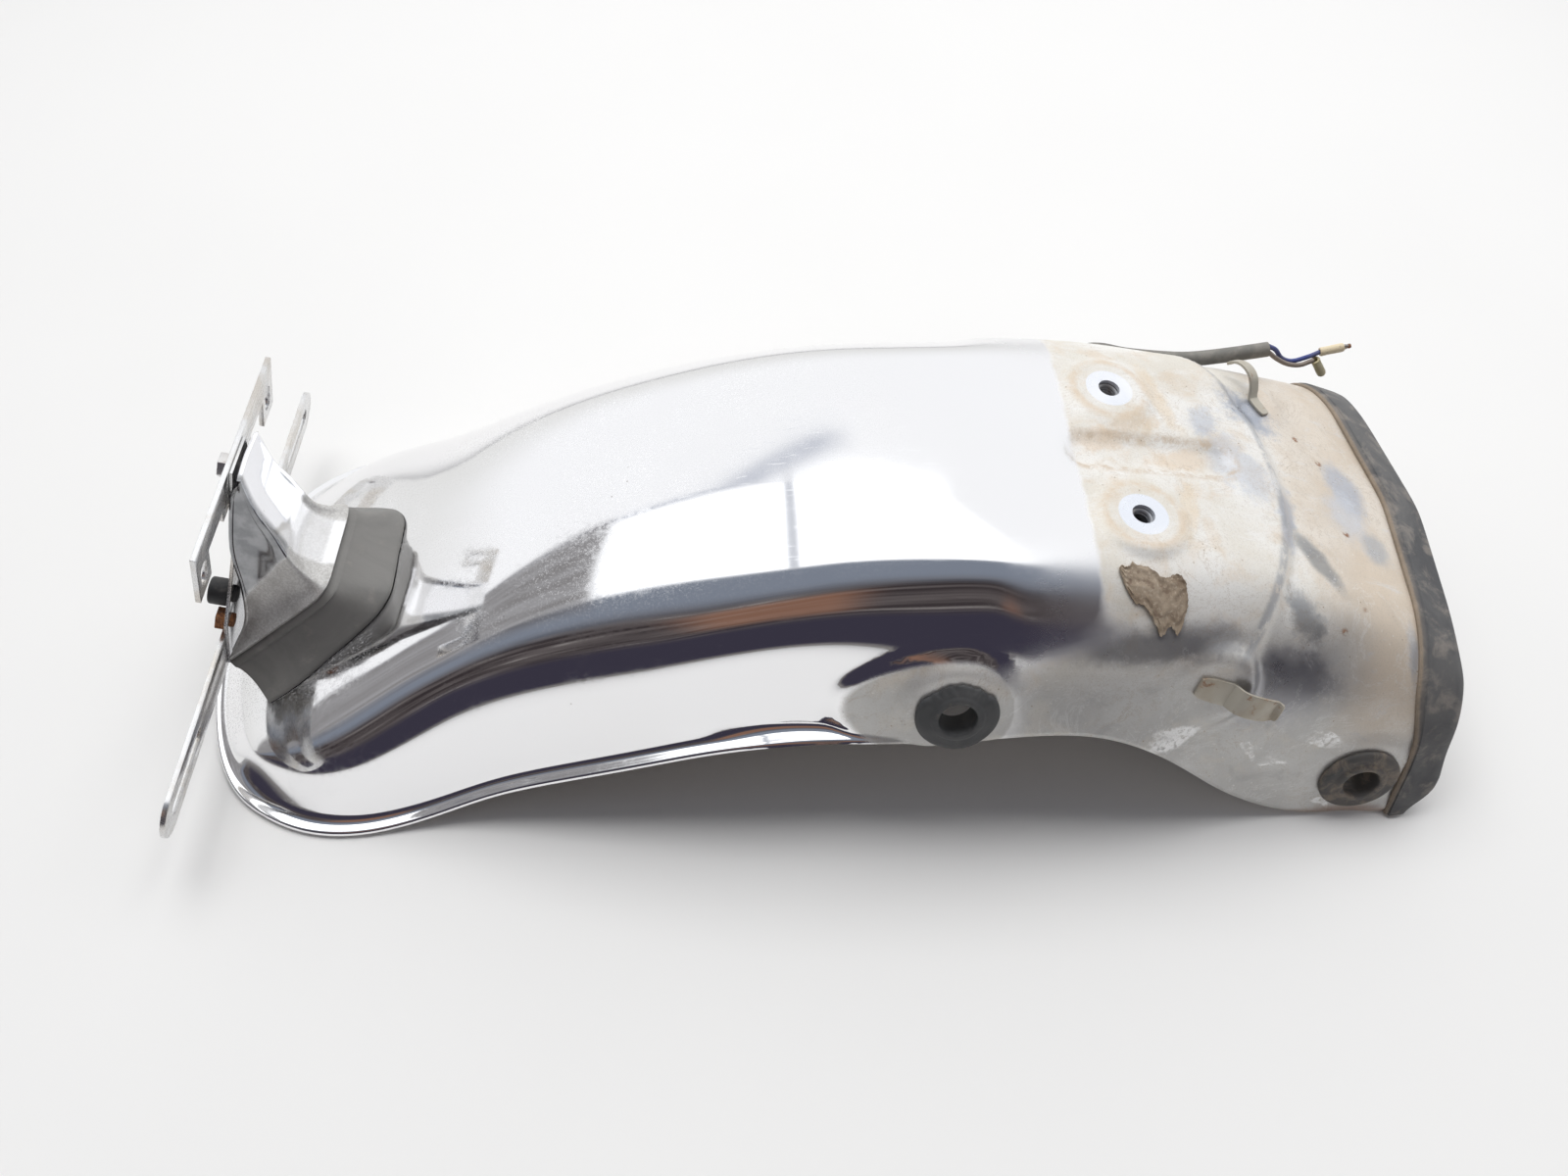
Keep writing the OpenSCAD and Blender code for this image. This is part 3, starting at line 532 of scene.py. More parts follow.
    def hollowed(self, p: np.ndarray) -> np.ndarray:
        """Presses the sheet beside and above the boss of each rear grommet, which then stands proud."""
        lean = math.radians(self.rear_lean)
        for seat, side in ((self.seats[0], -1), (self.seats[3], 1)):
            centre, normal = np.array(seat.centre, float), np.array(seat.normal, float)
            away = p - centre
            dx, up = away[..., 0], away @ np.array([0, -side * math.sin(lean), math.cos(lean)])
            off = np.hypot(np.minimum(dx, 0) * self.boss_stretch + np.maximum(dx, 0), up)
            past = off - self.boss_reach
            ring = ease(past / self.boss_edge) * (1 - ease((past - self.boss_edge) / self.boss_run))
            upper = ease((up + 17) / 7) * mix(ease(up / 14), 1.0,
                                              ease(-dx / 24)) * (1 - ease((dx - 12) / 16))
            near = 1 - ease((np.abs(away @ normal) - 10) / 14)
            p = p - (ring * upper * near * self.boss_rise)[..., None] * normal
        return p

    def half_skin(self, side: int, steps: Sequence[int]) -> np.ndarray:
        """Points of one side of the skin, from the front to the middle of the tail."""
        dist, height, reach = self.half_profile(self.rows, steps)
        share = dist / reach[:, None]
        x = self.rows[:, 3, None] + share * (self.rows[:, 0] - self.rows[:, 3])[:, None]
        y = side * share * self.rows[:, 1, None]
        return self.hollowed(self.flattened(self.pressed(np.stack([x, y, height], -1))))

    def skin(self, steps: Sequence[int]) -> np.ndarray:
        """Points of the whole skin: down the right side, round the tail and back up the left side."""
        return np.vstack([self.half_skin(-1, steps), self.half_skin(1, steps)[-2::-1]])

    def place(self, station: float, dist: float, side: int) -> np.ndarray:
        """Point of the skin at a station and a distance from the ridge."""
        rows = self.row(station)[None]
        d, z, reach = self.half_profile(rows, (40, 60, 30, 6, 4))
        height = float(np.interp(dist, d[0], z[0]))
        share = dist / reach[0]
        p = np.array([rows[0, 3] + share * (rows[0, 0] - rows[0, 3]), side * share * rows[0, 1], height])
        return self.flattened(self.pressed(p[None]))[0]


def sheet_normals(points: np.ndarray) -> np.ndarray:
    """Directions square to a table of points, by central differences."""
    return unit(np.cross(np.gradient(points, axis=0), np.gradient(points, axis=1)))


@dataclass
class FenderShell:
    """The pressed and chromed sheet with its holes."""

    form: FenderForm
    thickness: float = 1.6
    grommet_hole: float = 22.0
    crown_hole: float = 9.0
    lead_hole: float = 11.0
    steps: tuple[int, int, int, int, int] = (14, 30, 14, 8, 6)

    def build(self, outside: bpy.types.Material, inside: bpy.types.Material) -> bpy.types.Object:
        """Lofts the sheet, gives it its thickness and cuts the holes.

        Args:
            outside: Finish of the outer face and the edges.
            inside: Finish of the underside.

        Returns:
            The finished sheet.
        """
        points = self.form.skin(self.steps)
        middle = len(self.form.stations) - 1
        shared = 0.5 * (points[:middle + 1, 0] + points[middle:, 0][::-1])
        points[:middle + 1, 0] = shared
        points[middle:, 0] = shared[::-1]
        shell = Bench.sheet("fender_sheet", points)
        Bench.merge(shell, 0.01)
        if self.faces_inwards(shell):
            Bench.flip(shell)
        shell.data.materials.append(outside)
        shell.data.materials.append(inside)
        Bench.apply(shell, "SOLIDIFY", thickness=self.thickness * MM, offset=-1, use_even_offset=True,
                    material_offset=1)
        for seat in self.form.seats[:7]:
            Bench.cut(shell, self.drill(seat, self.bore_of(seat)))
        Bench.bevel(shell, 0.35, 2, 60)
        Bench.smooth(shell, 38)
        return shell

    def faces_inwards(self, obj: bpy.types.Object) -> bool:
        """Whether the faces near the top of the crown look down."""
        top = max(obj.data.polygons, key=lambda f: f.center.z)
        return top.normal.z < 0

    def bore_of(self, seat: SeatPlane) -> float:
        """Diameter of the hole in a seat."""
        if seat is self.form.seats[6]:
            return self.lead_hole
        return self.crown_hole if abs(seat.normal[1]) < 0.1 else self.grommet_hole

    def drill(self, seat: SeatPlane, diameter: float) -> bpy.types.Object:
        """A cylinder through a seat, square to it."""
        Bench.clear()
        bpy.ops.mesh.primitive_cylinder_add(vertices=96, radius=diameter / 2 * MM, depth=14 * MM)
        tool = bpy.context.object
        turn = Vector((0, 0, 1)).rotation_difference(Vector(seat.normal)).to_matrix().to_4x4()
        Bench.settle(tool, Matrix.Translation(Vector(seat.centre) * MM) @ turn)
        return tool


@dataclass
class FrontRubber:
    """Rubber channel that grips the front edge of the sheet."""

    form: FenderForm
    thickness: float = 6.4
    reach: float = 11.2
    grip: float = 9.0
    low_grip: float = 3.6
    bulge: float = 3.4
    columns: int = 150
    gap: float = 0.15
    sheet: float = 1.6

    def edge(self) -> tuple[np.ndarray, np.ndarray, np.ndarray]:
        """Points of the front edge from right to left, with the outward and backward directions."""
        steps = (12, 26, 12, 3, 3)
        turned_in = steps[3] + steps[4] + 1
        places, normals, backs = [], [], []
        for side in (-1, 1):
            skin = self.form.half_skin(side, steps)
            normal = -side * sheet_normals(skin)[0]
            back = unit(skin[4] - skin[0])
            last = skin.shape[1] - 1
            keep = [*range(last + 1 - turned_in), last]
            if side < 0:
                keep = keep[:0:-1]
            places.append(skin[0, keep])
            normals.append(normal[keep])
            backs.append(back[keep])
        table = np.hstack([np.vstack(rows) for rows in (places, normals, backs)])
        run = np.concatenate([[0], np.cumsum(np.linalg.norm(np.diff(table[:, :3], axis=0), axis=1))])
        even = np.linspace(0, run[-1], self.columns)
        smooth = np.stack([np.interp(even, run, table[:, c]) for c in range(9)], 1)
        smooth[:, :3] = blurred(smooth[:, :3], 3)
        return smooth[:, :3], unit(blurred(smooth[:, 3:6], 4)), unit(blurred(smooth[:, 6:], 4))

    def build(self) -> bpy.types.Object:
        """Sweeps the channel's section along the edge."""
        place, out, back = self.edge()
        height = place[:, 2]
        bulge = self.bulge * ease((height - 4) / 18) * ease((70 - height) / 12)
        reach = (self.reach * (0.45 + 0.55 * ease(height / 15)) + bulge)[:, None]
        grip = mix(self.low_grip, self.grip, ease((height - 34) / 22))[:, None]
        wall = (self.thickness - self.sheet) / 2
        top, low = wall, -self.sheet - wall
        ring = [
            (grip, self.gap), (grip, top * 0.45), (grip - 0.5, top * 0.72), (grip - 1.4, top * 0.8),
            (grip * 0.62, top * 0.86), (grip * 0.58, top * 1.05), (grip * 0.3, top * 1.06),
            (0.0, top * 1.02), (-reach * 0.3, top * 0.97), (-reach * 0.62, top * 0.88),
            (-reach * 0.86, top * 0.72), (-reach * 0.96, top * 0.3), (-reach, low * 0.1),
            (-reach * 0.97, low * 0.45), (-reach * 0.88, low * 0.75), (-reach * 0.5, low * 0.95),
            (0.0, low), (grip * 0.6, low * 0.95), (grip - 0.8, low * 0.88), (grip, low * 0.7),
            (grip, -self.sheet - self.gap), (-self.gap, -self.sheet - self.gap), (-self.gap, self.gap),
        ]
        columns = [place + back * along + out * across for along, across in ring]
        columns.append(columns[0])
        rim = np.zeros(len(columns))
        rim[:3] = rim[-4:] = 1.0
        rim[3] = 0.25
        strip = Bench.sheet("front_rubber_strip", np.stack(columns, 1), rim)
        Bench.merge(strip)
        Bench.cap(strip)
        Bench.smooth(strip, 32)
        return strip


def along(normal: Point) -> Matrix:
    """Turn that takes the Z axis onto a direction and keeps the X axis in the upright plane."""
    x, y, z = Vector(normal).normalized()
    return Matrix.Rotation(math.atan2(y, x), 4, "Z") @ Matrix.Rotation(math.acos(z), 4, "Y")


def at_wall(place: Point, lean: float, side: int) -> Matrix:
    """Place of a piece that stands square on a seat of the side wall."""
    angle = math.radians(lean)
    spot = Matrix.Translation(Vector((place[0], side * place[1], place[2])) * MM)
    return spot @ along((0, side * math.cos(angle), math.sin(angle)))


def at_crown(place: Point, tilt: float) -> Matrix:
    """Place of a piece that stands square on a seat of the crown."""
    return Matrix.Translation(Vector(place) * MM) @ Matrix.Rotation(math.radians(tilt), 4, "Y")


def vertices(obj: bpy.types.Object) -> np.ndarray:
    """Vertices of a piece in millimetres."""
    out = np.empty(len(obj.data.vertices) * 3)
    obj.data.vertices.foreach_get("co", out)
    return out.reshape(-1, 3) / MM


def move(obj: bpy.types.Object, points: np.ndarray) -> None:
    """Puts the vertices of a piece at places in millimetres."""
    obj.data.vertices.foreach_set("co", (points * MM).ravel())
    obj.data.update()


@dataclass
class Grommet:
    """Moulded rubber grommet in a side wall: outer flange with a raised bead, neck and inner flange."""

    name: str
    place: Point
    lean: float
    side: int
    bore: float = 14.5
    outer: float = 32.0
    hole: float = 22.0
    flange: float = 4.0
    torn: float = 0.0

    def build(self) -> bpy.types.Object:
        """Turns the section, tears the edge if it is torn and seats the piece."""
        b, o, f = self.bore / 2, self.outer / 2, self.flange
        profile = [
            (b + 0.3, f - 0.1), (b + 0.9, f), (b + 2.0, f), (b + 2.7, f - 0.25), (b + 3.1, f - 0.8),
            (b + 3.7, f - 1.0), (o - 2.6, f - 1.0), (o - 1.2, f - 1.3), (o - 0.4, f - 1.9), (o, f - 2.6),
            (o - 0.1, 0.5), (o - 0.5, 0.12), (self.hole / 2, 0.1), (self.hole / 2 - 0.15, -0.8),
            (self.hole / 2, -1.8), (o - 2, -1.8), (o - 2.6, -3.6), (b + 3, -7.2), (b + 0.8, -7.9),
            (b, -7.4), (b - 0.15, -2), (b, 1), (b, f - 0.5),
        ]
        ring = Bench.turned(self.name, profile, 112)
        if self.torn:
            self.tear(ring)
        Bench.settle(ring, at_wall(self.place, self.lean, self.side))
        Bench.smooth(ring, 50)
        return ring

    def tear(self, ring: bpy.types.Object) -> None:
        """Lifts and breaks the outer edge over part of its round."""
        p = vertices(ring)
        angle = np.arctan2(p[:, 1], p[:, 0])
        radius = np.hypot(p[:, 0], p[:, 1])
        upper = 1 - ease((np.abs(np.angle(np.exp(1j * (angle - math.pi)))) - 0.75) / 0.35)
        ragged = 0.5 + 0.5 * np.sin(angle * 19) * np.sin(angle * 7.3 + 1)
        rim = ease((radius - 12.2) / 2) * (p[:, 2] > 0)
        pull = self.torn * upper * rim * (0.55 + 0.45 * ragged)
        scale = (radius - pull) / np.maximum(radius, 1e-6)
        p[:, 0] *= scale
        p[:, 1] *= scale
        p[:, 2] -= upper * rim * np.maximum(p[:, 2] - 0.4, 0) * (0.25 + 0.35 * ragged)
        wave = np.sin(angle * 5 + 0.6) * ease((radius - 9) / 4) * (p[:, 2] > 1)
        p[:, 2] += 0.18 * wave
        move(ring, p)


@dataclass
class NutThread:
    """Thread turns inside a weld nut under a crown hole."""

    form: FenderForm
    side: int
    major: float = 3.42
    minor: float = 3.0
    pitch: float = 1.25
    length: float = 7.4
    root: float = 3.34
    under: float = 1.95

    def build(self) -> bpy.types.Object:
        """Turns a thin sleeve with one ridge for each turn of thread."""
        top = -self.under
        inner = []
        for k in range(int(self.length / self.pitch)):
            z = top - k * self.pitch
            inner += [(self.root, z), (self.minor, z - 0.45), (self.minor, z - 0.62), (self.root, z - 1.06)]
        profile = [(self.major, top)] + inner + [(self.major, inner[-1][1] - 0.1)]
        tag = "left" if self.side > 0 else "right"
        sleeve = Bench.turned(f"nut_thread_{tag}", profile, 48)
        place = (self.form.hole_x, self.side * self.form.hole_y, self.form.hole_z)
        Bench.settle(sleeve, at_crown(place, self.form.hole_tilt))
        Bench.smooth(sleeve, 30)
        return sleeve


@dataclass
class CableClip:
    """Bent strip of spring steel on the front of the fender."""

    name: str
    path: list[tuple[float, float]]
    width: float
    seat: Matrix
    turn: float
    thickness: float = 1.2
    gap: float = 0.1
    taper: float = 0.2

    def build(self) -> bpy.types.Object:
        """Bends the strip, gives it its thickness and rounds its edges."""
        path = np.array(self.path, float)
        fine = drawn(path, 8)
        share = np.linspace(0, 1, len(fine))
        half = self.width / 2 * (1 - self.taper * ease((share - 0.55) / 0.45))
        ends = np.minimum(share, 1 - share) * len(fine) / 3
        half = half * (0.72 + 0.28 * np.sqrt(np.clip(ends, 0, 1)))
        across = np.linspace(-1, 1, 9)
        points = np.empty((len(fine), len(across), 3))
        points[..., 0] = fine[:, None, 0]
        points[..., 1] = half[:, None] * across
        points[..., 2] = fine[:, None, 1] + self.gap
        strip = Bench.sheet(self.name, points)
        if strip.data.polygons[0].normal.z < 0:
            Bench.flip(strip)
        Bench.apply(strip, "SOLIDIFY", thickness=self.thickness * MM, offset=1, use_even_offset=True)
        Bench.bevel(strip, 0.3, 3, 50)
        Bench.settle(strip, self.seat @ Matrix.Rotation(math.radians(self.turn), 4, "Z"))
        Bench.smooth(strip, 40)
        return strip


@dataclass
class TailFitting:
    """Sizes that the gasket and the stay at the tail share."""

    form: FenderForm
    turn: float = -2.2
    pivot: float = -245.5
    gasket_out: tuple = ((17.95, 0), (17.95, 11), (18, 20), (18.3, 28), (18.9, 34), (19.7, 40), (20.5, 46),
                         (21.2, 50),
                         (21.9, 53))
    gasket_in: tuple = ((18.4, 0), (18.4, 10), (18.42, 17), (18.65, 22), (19.15, 27), (19.9, 32.5),
                        (20.65, 38),
                        (21.3, 42), (22, 45.5))
    gasket_top: tuple = ((-194.5, 0, 62), (-194.5, 10, 62), (-194.8, 18, 61.8), (-196.5, 23, 61),
                         (-201.5, 26.5, 58),
                         (-211.5, 29.5, 51.7), (-221.5, 32, 45.2), (-232.5, 34.8, 38), (-242.5, 37, 31.5))
    levels: tuple = ((-200.5, 20.5, 65.5, -238.5, 31, 38, -200.5),
                     (-206.5, 17.5, 72, -233.5, 25, 46, -208.5),
                     (-209, 16, 86, -230.5, 20, 62, -211.5), (-212, 14.2, 102, -227.3, 17, 84, -214),
                     (-211.8, 13, 119.5, -217, 13.4, 114, -212.4))
    nose: tuple = ((0, 0), (0.25, 0.4), (0.65, 0.74))
    side_foot: tuple = (0, 0.12, 0.35, 0.6, 0.82, 1)
    side_top: tuple = (0, 0.42, 0.57, 0.72, 0.86, 1)
    seam: float = 0.3
    sheet: float = 1.6
    lift: float = 0.35

    def turned(self, p: np.ndarray) -> np.ndarray:
        """Turns points about the upright axis through the plate bars."""
        angle = math.radians(self.turn)
        x, y = p[..., 0] - self.pivot, p[..., 1]
        return np.stack([self.pivot + x * math.cos(angle) - y * math.sin(angle),
                         x * math.sin(angle) + y * math.cos(angle), p[..., 2]], -1)

    def both_sides(self, rows: np.ndarray) -> np.ndarray:
        """Rows from the right rear end round the front to the left rear end."""
        right = rows[:0:-1] * np.array([1, -1, 1])
        return np.concatenate([right, rows])

    def top_line(self, fine: int) -> np.ndarray:
        """Upper edge of the gasket before its turn, smoothed and evenly cut."""
        rows = self.both_sides(np.array(self.gasket_top, float))
        return drawn(rows, fine)

    def foot_line(self, table: tuple, fine: int) -> np.ndarray:
        """A foot line of the gasket on the crown."""
        half = drawn(np.array(table, float), fine)
        right = [self.form.place(s, abs(d), -1) for s, d in half[:0:-1]]
        left = [self.form.place(s, abs(d), 1) for s, d in half]
        return np.array(right + left) + np.array([0, 0, self.lift])


@dataclass
class StayGasket:
    """Rubber gasket between the crown and the stay, open towards the rear."""

    fitting: TailFitting
    fine: int = 9
    ring: tuple = (
        (0.00, 4.8, -1.4), (0.00, 3.6, -0.3), (0.00, 2.2, 0.1), (0.00, 0.9, 0.15), (0.00, 0.3, -0.1),
        (0.02, 0.0, -0.5), (0.09, 0.0, -0.3), (0.14, 0.15, -0.1), (0.16, 0.4, -0.1), (0.18, 0.75, 0.0),
        (0.21, 1.0, 0.0), (0.28, 1.5, 0.0), (0.38, 1.9, -0.1), (0.50, 2.0, -0.2), (0.62, 1.8, -0.3),
        (0.74, 1.2, -0.2), (0.84, 0.55, 0.1), (0.91, 0.15, 0.4), (0.95, 0.0, 0.5), (0.98, 0.0, 0.45),
        (1.00, 0.0, 0.1),
    )

    def build(self) -> bpy.types.Object:
        """Lofts the section round the foot of the stay."""
        fit = self.fitting
        top = fit.turned(fit.top_line(self.fine))
        out = fit.foot_line(fit.gasket_out, self.fine)
        inner = fit.foot_line(fit.gasket_in, self.fine)
        inward = (inner - out) * np.array([1, 1, 0])
        inward = unit(blurred(unit(inward), 2))
        up = np.array([0, 0, 1.0])
        columns = [mix(top, out, t) + a * inward + z * up for t, a, z in self.ring]
        shoulder = top + 5.2 * inward - 2.2 * up
        columns += [out, mix(out, inner, 0.5), inner, mix(inner, shoulder, 0.35), mix(inner, shoulder, 0.7),
                    shoulder]
        columns.append(columns[0])
        wall = Bench.sheet("gasket_wall", np.stack(columns, 1))
        Bench.merge(wall)
        Bench.cap(wall)
        Bench.smooth(wall, 35)
        return wall


@dataclass
class TailStay:
    """Plated sheet stay on the gasket, with its rear edges rolled into a lip."""

    fitting: TailFitting
    fine: int = 5
    lip: float = 1.15

    def grid(self) -> np.ndarray:
        """Outer skin as columns round the stay and levels up it."""
        fit = self.fitting
        top = np.array(fit.gasket_top, float)
        sides = []
        for side in (-1, 1):
            columns = []
            for k, foot in enumerate(top):
                rows = [foot * (1, side, 1) + np.array([0, 0, fit.seam + fit.sheet])]
                for level, row in enumerate(fit.levels, 1):
                    front = np.array([row[0], side * row[1], row[2]])
                    rear = np.array([row[3], side * row[4], row[5]])
                    if k < len(fit.nose):
                        back, out = fit.nose[k]
                        spot = np.array([mix(row[6], row[0], back), side * out * row[1], row[2]])
                    else:
                        share = mix(fit.side_foot[k - 3], fit.side_top[k - 3], level / 5)
                        spot = mix(front, rear, share)
                    rows.append(spot)
                columns.append(rows)
            sides.append(np.array(columns))
        table = np.concatenate([sides[0][:0:-1], sides[1]])
        n, m = table.shape[:2]
        wide = drawn(table.reshape(n, -1), self.fine).reshape(-1, m, 3)
        tall = drawn(wide.transpose(1, 0, 2).reshape(m, -1), self.fine).reshape(-1, len(wide), 3)
        return fit.turned(tall.transpose(1, 0, 2))

    def build(self) -> list[bpy.types.Object]:
        """Lofts the sheet and lays the rolled lips on its rear edges."""
        points = self.grid()
        sheet = Bench.sheet("stay_sheet", points)
        front = max(sheet.data.polygons, key=lambda f: f.center.x)
        if front.normal.x < 0:
            Bench.flip(sheet)
        Bench.apply(sheet, "SOLIDIFY", thickness=self.fitting.sheet * MM, offset=-1, use_even_offset=True)
        Bench.bevel(sheet, 0.35, 2, 60)
        Bench.smooth(sheet, 40)
        normal = sheet_normals(points)
        centre = np.array([points[:, 0, :].mean(0)[0], 0, 0])
        if (normal[len(points) // 2, 3] @ (points[len(points) // 2, 3] - centre)) < 0:
            normal = -normal
        pieces = [sheet]
        for row, tag in ((0, "right"), (-1, "left")):
            edge = points[row, 2:] - normal[row, 2:] * 0.8
            pieces.append(rolled_lip(f"stay_lip_{tag}", edge, self.lip))
        return pieces


def rolled_lip(name: str, path: np.ndarray, radius: float) -> bpy.types.Object:
    """Thin round bead along a path, closed at both ends.

    Args:
        name: Name of the piece.
        path: Points of the centre line in millimetres.
        radius: Radius of the bead.

    Returns:
        The bead as a mesh.
    """
    fine = drawn(path, 3)
    aim = unit(np.gradient(fine, axis=0))
    u = unit(np.cross(aim, [0, 1.0, 0.2]))
    v = np.cross(aim, u)
    turn = np.linspace(0, 2 * math.pi, 15)
    count = np.arange(len(fine))
    size = radius * np.sqrt(np.clip(np.minimum(count, count[::-1]) / 2, 0.15, 1))
    ring = np.cos(turn)[None, :, None] * u[:, None] + np.sin(turn)[None, :, None] * v[:, None]
    bead = Bench.sheet(name, fine[:, None] + ring * size[:, None, None])
    Bench.merge(bead)
    Bench.cap(bead)
    Bench.smooth(bead, 50)
    return bead


@dataclass
class TornTape:
    """Remains of paper tape on the right shoulder, torn and wrinkled."""

    form: FenderForm
    rows: tuple = ((5.72, 61.5, 70), (5.8, 60, 73), (5.95, 59, 77), (6.1, 60.5, 75.5), (6.25, 60, 78.5),
                   (6.4, 58, 75),
                   (6.55, 56.5, 71), (6.75, 56, 69), (6.9, 57.5, 65.5), (7.0, 57, 60.5))
    fine: int = 9
    across: int = 26
    seed: int = 7

    def build(self) -> bpy.types.Object:
        """Lays the sheet on the skin with ragged edges and small creases."""
        rng = np.random.default_rng(self.seed)
        lines = drawn(np.array(self.rows, float), self.fine)
        rag = blurred(rng.normal(0, 1, (len(lines), 2)), 0.8) * 0.8
        rag += blurred(rng.normal(0, 1, (len(lines), 2)), 3) * 1.2
        near = lines[:, 1] + rag[:, 0] * 0.6
        far = lines[:, 2] + rag[:, 1] * 0.6
        points = np.empty((len(lines), self.across, 3))
        for i in range(len(lines)):
            for j in range(self.across):
                share = j / (self.across - 1)
                points[i, j] = self.form.place(lines[i, 0], mix(near[i], far[i], share), -1)
        normal = sheet_normals(points)
        normal *= np.sign(normal[..., 2:3].mean())
        u, v = np.meshgrid(np.linspace(0, 1, self.across), np.linspace(0, 1, len(lines)))
        crease = np.abs(np.sin(9 * v + 5 * u + 2 * np.sin(7 * u))) ** 6
        crease += 0.6 * np.abs(np.sin(14 * u - 6 * v + 1)) ** 8
        curl = np.clip(1 - np.minimum(np.minimum(u, 1 - u) * 9, np.minimum(v, 1 - v) * 14), 0, 1)
        lift = 0.75 + 0.35 * crease + 0.5 * curl * (0.5 + 0.5 * np.sin(17 * v + 3 * u))
        points = points + normal * lift[..., None]
        tape = Bench.sheet("torn_tape", points)
        if tape.data.polygons[0].normal.z < 0:
            Bench.flip(tape)
        Bench.apply(tape, "SOLIDIFY", thickness=0.3 * MM, offset=-1)
        Bench.smooth(tape, 60)
        return tape


@dataclass
class Lead:
    """Free lead at the front left: sheath, two wires, their sleeves and the terminal."""

    sheath: tuple = ((138.5, 97.4, 55.2), (138.5, 101.9, 57.2), (138.8, 105.4, 58.6), (143, 109.2, 59.8),
                     (150, 108.6, 60.4), (159.5, 104, 61.5), (172.5, 97, 65.5), (185.5, 91.5, 69.5),
                     (203.5, 91, 72),
                     (221.5, 92, 74))
    blue: tuple = ((221.8, 92.8, 75.2), (226.5, 93.6, 72), (231.5, 94.4, 66), (237.5, 94.8, 63.4),
                   (244.5, 95.1, 65.6),
                   (249.5, 95.6, 68))
    grey: tuple = ((218.4, 91.0, 73.6), (221.9, 91.1, 73), (226.5, 91, 69.4), (233.5, 91.7, 64.8),
                   (240.5, 92.2, 63.2),
                   (246.8, 93.1, 65.2))
    sleeve_front: tuple = ((249.5, 95.6, 68), (260, 96, 70.4))
    sleeve_side: tuple = ((247.5, 93.2, 65.4), (254.5, 94, 55.6))
    sheath_d: float = 7.0
    wire_d: float = 2.2

    def curve(self, name: str, path: tuple, diameter: float) -> tuple[bpy.types.Object, float]:
        """Draws a round lead along a path.

        Args:
            name: Name of the piece.
            path: Points of the route in millimetres.
            diameter: Diameter in millimetres.

        Returns:
            The curve and its length in metres.
        """
        fine = drawn(np.array(path, float), 4) * MM
        data = bpy.data.curves.new(name, "CURVE")
        data.dimensions = "3D"
        strand = data.splines.new("POLY")
        strand.points.add(len(fine) - 1)
        for point, place in zip(strand.points, fine):
            point.co = (*place, 1)
            point.radius = diameter / 2 * MM
        data.bevel_depth = 1.0
        data.bevel_resolution = 8
        data.use_fill_caps = True
        obj = bpy.data.objects.new(name, data)
        bpy.context.scene.collection.objects.link(obj)
        return obj, float(np.linalg.norm(np.diff(fine, axis=0), axis=1).sum())

    def sleeve(self, name: str, ends: tuple, profile: Sequence[tuple[float, float]]) -> bpy.types.Object:
        """Turned piece that lies along a straight line between two points.

        Args:
            name: Name of the piece.
            ends: First and last point of the axis.
            profile: Radius and share of the length for each ring.

        Returns:
            The piece in its place.
        """
        start, end = Vector(ends[0]), Vector(ends[1])
        length = (end - start).length
        piece = Bench.turned(name, [(r, s * length) for r, s in profile], 32)
        turn = Vector((0, 0, 1)).rotation_difference(end - start).to_matrix().to_4x4()
        Bench.settle(piece, Matrix.Translation(start * MM) @ turn)
        Bench.smooth(piece, 40)
        return piece

    def build(self) -> dict[str, bpy.types.Object]:
        """Draws the lead and returns its pieces by name."""
        sheath, sheath_len = self.curve("sheath_run", self.sheath, self.sheath_d)
        blue, blue_len = self.curve("blue_run", self.blue, self.wire_d)
        grey, grey_len = self.curve("grey_run", self.grey, self.wire_d)
        tube = ((1.2, 0.0), (1.95, 0.0), (2.08, 0.03), (2.1, 0.1), (2.02, 0.3), (2.08, 0.6), (2.1, 0.9),
                (2.0, 0.97),
                (1.85, 1.0), (1.25, 1.0), (1.2, 0.97))
        front = self.sleeve("front_sleeve_tube", self.sleeve_front, tube)
        side = self.sleeve("side_sleeve_tube", self.sleeve_side, tube)
        aim = (Vector(self.sleeve_front[1]) - Vector(self.sleeve_front[0])).normalized()
        tip_ends = (Vector(self.sleeve_front[1]) - aim * 1.5, Vector(self.sleeve_front[1]) + aim * 3.4)
        tip = self.sleeve("terminal_barrel", tip_ends,
                          ((0.5, 0.0), (1.15, 0.0), (1.2, 0.3), (1.2, 0.55), (0.95, 0.62),
                                                        (0.95, 0.72), (1.2, 0.8), (1.0, 0.97), (0.6, 1.0),
                                                        (0.5, 0.98)))
        for piece, nodes in ((sheath, ("lead_sheath",)), (blue, ("wire_blue",)), (grey, ("wire_grey",)),
                             (front, ("sleeve_front",)), (side, ("sleeve_side",)), (tip, ("terminal_tip",))):
            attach(piece, "root")
            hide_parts(*nodes)
        metres = [tuple(c * MM for c in path[0]) for path in (self.sheath, self.blue, self.grey)]
        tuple(metres[0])
        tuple(metres[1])
        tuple(metres[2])
        return {"sheath": sheath, "blue": blue, "grey": grey, "front": front, "side": side, "tip": tip}


